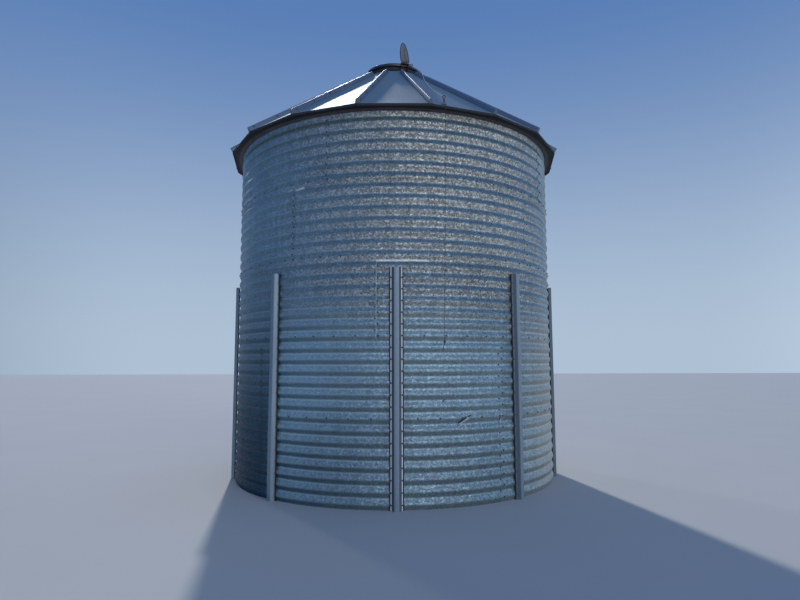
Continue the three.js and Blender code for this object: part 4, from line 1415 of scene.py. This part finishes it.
class SILO_OT_roof(bpy.types.Operator):
    """Makes the roof panels, their ribs and bolts, and the skirt under the eave."""

    bl_idname = "silo.roof"
    bl_label = "Roof"

    def execute(self, context):
        roof = context.scene.silo_roof
        spots = []
        for section in range(ROOF_SECTIONS):
            node = f"roof_panels_{section + 1}"
            first = (section * PANELS_PER_SECTION + 0.5) * PANEL_ANGLE
            turns = [first + index * PANEL_ANGLE for index in range(PANELS_PER_SECTION)]
            sheets = joined("panels", [self.panel(roof, turn + PANEL_ANGLE / 2) for turn in turns])
            coated(sheets, "roof_panel_steel", "painted_highlight_edge", "edge_shade_and_stain")
            settle(piece_from(f"roof_sheets_{section + 1}", sheets), "roof_panel_steel", stands_for=[node])
            ribs = joined("ribs", [self.rib(roof, turn) for turn in turns])
            settle(piece_from(f"roof_ribs_{section + 1}", ribs), "roof_rib_steel", stands_for=[node])
            for turn in turns:
                spots += self.rib_bolts(roof, turn)
        settle(bolts("roof_bolts", spots, 11), "bolt_zinc")
        for index in range(SKIRTS):
            skirt = piece_from(f"skirt_{index + 1}", self.skirt(context, index))
            settle(skirt, "painted_shade_eave_steel", stands_for=[f"eave_skirt_{index + 1}"])
        return {"FINISHED"}

    def panel(self, roof, middle):
        """One flat panel with its lip, a little slack between its ribs."""
        bend_radius = 0.006
        swell = 0.0016
        gap = 0.0008
        half_angle = math.radians(PANEL_ANGLE / 2)
        apothem = roof.eave_radius * math.cos(half_angle)
        runs = np.linspace(roof.panel_top, apothem - bend_radius, 22)
        rows = [(distance, panel_height(roof, distance)) for distance in runs]
        corner = (apothem, panel_height(roof, apothem))
        bend = rounded([rows[-1], corner, (apothem, roof.eave_height - roof.lip)], bend_radius, closed=False)
        rows += [tuple(point) for point in bend[1:]]
        columns = np.linspace(-1, 1, 15)
        reach = apothem - roof.panel_top
        points = []
        for distance, height in rows:
            run = min(1.0, max(0.0, (distance - roof.panel_top) / reach))
            belly = math.sin(math.pi * run)
            for column in columns:
                across = column * (distance * math.tan(half_angle) - gap)
                slack = roof.sag * belly ** 0.7 * (1 - column ** 2)
                wave = swell * math.sin(9 * run + 2 * column + middle) * (1 - column ** 2) * belly
                spot = outward(middle) * distance + sideways(middle) * across
                points.append(spot + Vector((0, 0, height - slack + wave)))
        width = len(columns)
        faces = [[row * width + column, (row + 1) * width + column, (row + 1) * width + column + 1,
                  row * width + column + 1] for row in range(len(rows) - 1) for column in range(width - 1)]
        mesh = bpy.data.meshes.new("panel")
        mesh.from_pydata([tuple(point) for point in points], [], faces)
        if mesh.polygons[0].normal.z < 0:
            mesh.flip_normals()
        sheet = worked("panel", mesh, ("SOLIDIFY", {"thickness": roof.sheet, "offset": -1.0}))
        # The bend's upper faces carry a painted highlight and the lip's face painted shadow
        for face in sheet.polygons:
            if face.center.z < roof.eave_height + 0.005 and face.normal.dot(outward(middle)) > 0.65:
                face.material_index = 1 if face.normal.z > 0.3 else 2
        return softened(sheet, 50)

    def rib_frame(self, roof, azimuth, radius):
        """A frame on a rib's line: X sideways, Y off the roof and Z down the slope."""
        slope = ridge_slope(roof)
        down = outward(azimuth) * math.cos(slope) - Vector((0, 0, math.sin(slope)))
        normal = outward(azimuth) * math.sin(slope) + Vector((0, 0, math.cos(slope)))
        return basis(sideways(azimuth), normal, down, place(azimuth, radius, ridge_height(roof, radius)))

    def rib(self, roof, azimuth):
        """One rib with rounded edges and squared ends."""
        base = roof.rib_base / 2
        crest = roof.rib_crest / 2
        sunk = -0.0045
        top = roof.rib_height
        outline = rounded([(base, sunk), (crest, top), (-crest, top), (-base, sunk)], 0.006)
        radii = np.linspace(roof.rib_top, roof.eave_radius, 7)
        ends = [self.rib_frame(roof, azimuth, radius) for radius in radii]
        return softened(bevelled(prism("rib", outline, ends), 0.002, 1), 40)

    def rib_bolts(self, roof, azimuth):
        """Bolts down one flank of a rib."""
        lean = math.atan2((roof.rib_base - roof.rib_crest) / 2, roof.rib_height)
        spots = []
        for radius in np.linspace(roof.rib_top + 0.06, roof.eave_radius - 0.06, 6):
            where = self.rib_frame(roof, azimuth, radius)
            middle = (roof.rib_base + roof.rib_crest) / 4
            spot = where @ Vector((middle, roof.rib_height / 2, 0))
            spots.append((spot, where.to_3x3() @ Vector((math.cos(lean), math.sin(lean), 0))))
        return spots

    def skirt(self, context, index):
        """A third of the flashing from the roof's lip in to the wall."""
        roof = context.scene.silo_roof
        wall = context.scene.silo_wall
        sweep = 360 / SKIRTS
        first = PANEL_ANGLE / 2 + index * sweep
        apothem = roof.eave_radius * math.cos(math.radians(PANEL_ANGLE / 2)) - 0.002
        points = []
        steps = int(sweep)
        for step in range(steps + 1):
            azimuth = first + step * sweep / steps
            off_middle = azimuth - round(azimuth / PANEL_ANGLE) * PANEL_ANGLE
            edge = apothem / math.cos(math.radians(off_middle))
            crest = wall.radius + wall.depth / 2
            outline = [(edge - 0.002, roof.skirt_head - 0.010), (edge, roof.skirt_head),
                       (crest + 0.003, roof.skirt_foot), (crest + 0.002, roof.skirt_foot - 0.006)]
            points += [place(azimuth, radius, height) for radius, height in outline]
        faces = [[step * 4 + row, step * 4 + row + 1, step * 4 + row + 5, step * 4 + row + 4]
                 for step in range(steps) for row in range(3)]
        mesh = bpy.data.meshes.new("skirt")
        mesh.from_pydata([tuple(point) for point in points], [], faces)
        if mesh.polygons[1].normal.z > 0:
            mesh.flip_normals()
        return softened(worked("skirt", mesh, ("SOLIDIFY", {"thickness": 0.0015, "offset": -1.0})), 30)


class SILO_OT_peak(bpy.types.Operator):
    """Makes the collar of the filling hole, the lid, the lever and the hinge."""

    bl_idname = "silo.peak"
    bl_label = "Peak"

    def execute(self, context):
        sizes = context.scene.silo_peak
        collar = piece_from("filling_collar", self.collar(context))
        settle(collar, "stained_collar_steel", stands_for=["peak_collar"])
        settle(bolts("collar_bolts", self.collar_bolts(context), 13), "bolt_zinc")
        settle(piece_from("peak_lid", self.lid(sizes)), "lid_steel", body="lid", stands_for=["lid"])
        settle(piece_from("opening_lever", self.lever(sizes)), "worn_lever_steel", body="lid",
               stands_for=["lid_lever"])
        settle(bolts("strap_bolts", self.strap_bolts(sizes), 17), "bolt_zinc", body="lid")
        for node in ("hinge_bracket", "hinge_pin"):
            mesh = softened(bevelled(frame_copy(node), 0.0012), 30)
            settle(piece_from(node + "_steel", mesh), "rusted_steel", stands_for=[node])
        return {"FINISHED"}

    def collar(self, context):
        """The neck with its flange and a rolled upper edge."""
        sizes = context.scene.silo_peak
        roof = context.scene.silo_roof
        neck = sizes.collar_radius + 0.007
        rim = sizes.flange_radius
        seat = ridge_height(roof, rim) + SEAT
        root = ridge_height(roof, neck) + SEAT
        thick = sizes.metal * 1.2
        head = LID_TOP - sizes.lid_rise * neck / sizes.lid_radius - 0.0075
        outline = [
            (neck - sizes.metal, root), (rim, seat), (rim, seat + thick), (neck, root + thick), (neck, head),
            (neck - sizes.metal, head)]
        return softened(lathe("collar", rounded(outline, 0.004)))

    def collar_bolts(self, context):
        """A bolt in the flange on each panel."""
        sizes = context.scene.silo_peak
        roof = context.scene.silo_roof
        slope = ridge_slope(roof)
        radius = sizes.flange_radius - 0.022
        spots = []
        for index in range(PANELS):
            azimuth = index * PANEL_ANGLE
            normal = outward(azimuth) * math.sin(slope) + Vector((0, 0, math.cos(slope)))
            spots.append((place(azimuth, radius, ridge_height(roof, radius) + 0.0048), normal))
        return spots

    def lid(self, sizes):
        """The shallow cone with its turned-down rim and rolled edge."""
        edge = LID_TOP - sizes.lid_rise
        rim = sizes.lid_radius
        metal = sizes.metal
        curl = rim - 0.007
        inside = rim - metal
        outer = [(0, LID_TOP), (rim, edge), (rim, LID_FOOT), (curl, LID_FOOT)]
        upper = rounded(outer, 0.008, 4, closed=False)
        lower = rounded([(curl, LID_FOOT + 0.004), (inside, LID_FOOT + 0.005), (inside, edge - metal),
                         (0, LID_TOP - metal)], 0.006, 4, closed=False)
        return softened(lathe("lid", [*upper, *lower]), 40)

    def lever(self, sizes):
        """Barrel, strap on the lid and the tongue-shaped lever with its folded edge."""
        frame_matrix = hinge_frame()
        reach = -0.150
        inside = sizes.lid_radius - HINGE_RADIUS
        seat = LID_TOP - sizes.lid_rise - HINGE_HEIGHT + SEAT
        far = self.lid_height(sizes, reach) + SEAT
        outline = rounded([
            (reach, far), (inside, seat), (-0.006, 0.003), (0.003, 0.008), (inside, seat + 0.005),
            (reach, far + 0.005)], 0.003)
        strap = self.across(frame_matrix, "strap", outline, sizes.strap_width)
        barrel = self.across(frame_matrix, "barrel", circle(sizes.barrel_radius, 24), sizes.barrel_length)
        tongue = self.tongue(sizes, frame_matrix)
        lever = joined("lever", [softened(strap), softened(barrel), *tongue])
        return coated(lever, "worn_lever_steel", "edge_shade_and_stain")

    def across(self, frame_matrix, name, outline, width):
        """A solid from an outline seen along the hinge, as wide as given."""
        upright = Matrix(((1, 0, 0, 0), (0, 0, 1, 0), (0, 1, 0, 0), (0, 0, 0, 1)))
        ends = [frame_matrix @ Matrix.Translation((0, y, 0)) @ upright for y in (-width / 2, width / 2)]
        return bevelled(prism(name, outline, ends), 0.001)

    def lid_height(self, sizes, reach):
        """Height of the lid's cone over the hinge, where it lies that far out from the hinge."""
        return LID_TOP - sizes.lid_rise / sizes.lid_radius * (HINGE_RADIUS + reach) - HINGE_HEIGHT

    def tongue(self, sizes, frame_matrix):
        """The upright tongue: a plate with a raised edge and a rib down its middle."""
        upright = (frame_matrix @ Matrix.Rotation(sizes.lever_lean, 4, "Y")
                   @ Matrix(((0, 0, 1, 0), (1, 0, 0, 0), (0, 1, 0, 0), (0, 0, 0, 1))))
        half = sizes.lever_half_width
        widest = sizes.lever_shoulder + 0.009
        length = sizes.lever_length
        tip = (sizes.lever_tip, length)

        def flank(controls, steps=18):
            """Points on a flank, from one end of its curve up to the other."""
            shares = [step / steps for step in range(steps)]
            weights = [((1 - t) ** 3, 3 * t * (1 - t) ** 2, 3 * t ** 2 * (1 - t), t ** 3) for t in shares]
            return [tuple(sum(w * point[axis] for w, point in zip(row, controls)) for axis in (0, 1))
                    for row in weights]

        rise = length - 0.020
        right = flank(((half, widest), (half - 0.017, 0.105), (tip[0] + half - 0.002, rise + 0.004), tip))
        left = flank((tip, (tip[0] - 0.041, rise + 0.002), (tip[0] - 0.041, 0.105), (-half, widest)))
        neck = sizes.lever_neck
        outline = [(neck, 0.0), (neck, sizes.lever_shoulder), *right, *left, (-half, widest),
                   (-neck, sizes.lever_shoulder), (-neck, 0.0)]
        sides = [upright @ Matrix.Translation((0, 0, depth)) for depth in (-0.0025, 0.0025)]
        sheet = bevelled(prism("tongue", outline, sides), 0.0012)
        inner = [(x * 0.95 + tip[0] * 0.05 * y / length, min(y, length - 0.005)) for x, y in (*right, *left)]
        fold = tube("fold", [upright @ Vector((x, y, 0)) for x, y in inner], 0.0052, 8)
        # The folded edge carries painted shade, a dark outline round the lever
        fold.polygons.foreach_set("material_index", [1] * len(fold.polygons))
        spine = rounded([(-0.010, 0.0), (0.010, 0.0), (0.005, 0.006), (-0.005, 0.006)], 0.002)
        spine_ends = []
        for height, scale in ((0.035, 0.4), (0.055, 1.0), (0.13, 1.0), (0.20, 0.9), (0.245, 0.3)):
            lean = tip[0] * (height / length) ** 2 * 0.9
            shrink = Matrix(((scale, 0, 0, 0), (0, 0, -1, 0), (0, scale, 0, 0), (0, 0, 0, 1)))
            spine_ends.append(upright @ Matrix.Translation((lean, height, 0.002)) @ shrink)
        middle = softened(prism("spine", [tuple(point) for point in spine], spine_ends), 40)
        return [softened(sheet), fold, middle]

    def strap_bolts(self, sizes):
        """Two bolts that hold the strap to the lid."""
        frame_matrix = hinge_frame()
        normal = frame_matrix.to_3x3() @ Vector((sizes.lid_rise / sizes.lid_radius, 0, 1)).normalized()
        spots = []
        for reach in (-0.060, -0.125):
            height = self.lid_height(sizes, reach) + 0.0058
            spots.append((frame_matrix @ Vector((reach, 0, height)), normal))
        return spots


class SILO_OT_floor(bpy.types.Operator):
    """Gives the floor sheet its finish."""

    bl_idname = "silo.floor"
    bl_label = "Floor sheet"

    def execute(self, context):
        floor = frame["nodes"]["floor_sheet"]
        coated(floor.data, "floor_zinc")
        return {"FINISHED"}


class SILO_PT_panel(bpy.types.Panel):
    """Lists the silo's steps."""

    bl_idname = "SILO_PT_panel"
    bl_label = "Grain silo"
    bl_space_type = "VIEW_3D"
    bl_region_type = "UI"
    bl_category = "Silo"

    def draw(self, context):
        for operator in OPERATORS:
            self.layout.operator(operator.bl_idname)
        for name in SETTINGS:
            group = getattr(context.scene, name)
            box = self.layout.box()
            for setting in group.__annotations__:
                box.prop(group, setting)


SETTINGS = {
    "silo_wall": SiloWallSizes,
    "silo_roof": SiloRoofSizes,
    "silo_peak": SiloPeakSizes,
    "silo_rope": SiloRopeSizes,
    "silo_finishes": SiloFinishes,
    "silo_stage": SiloStage,
}
OPERATORS = (
    SILO_OT_stage, SILO_OT_rope, SILO_OT_wall, SILO_OT_stiffeners, SILO_OT_roof, SILO_OT_peak, SILO_OT_floor,
)


def register():
    """Registers the settings, the operators and the panel."""
    for name, group in SETTINGS.items():
        bpy.utils.register_class(group)
        setattr(bpy.types.Scene, name, PointerProperty(type=group))
    for operator in OPERATORS:
        bpy.utils.register_class(operator)
    bpy.utils.register_class(SILO_PT_panel)


def unregister():
    """Removes what register added."""
    bpy.utils.unregister_class(SILO_PT_panel)
    for operator in reversed(OPERATORS):
        bpy.utils.unregister_class(operator)
    for name, group in reversed(SETTINGS.items()):
        delattr(bpy.types.Scene, name)
        bpy.utils.unregister_class(group)


def main():
    """Builds the silo and its stage."""
    register()
    bpy.ops.silo.stage()
    bpy.ops.silo.rope()
    bpy.ops.silo.wall()
    bpy.ops.silo.stiffeners()
    bpy.ops.silo.roof()
    bpy.ops.silo.peak()
    bpy.ops.silo.floor()


if __name__ == "__main__":
    main()
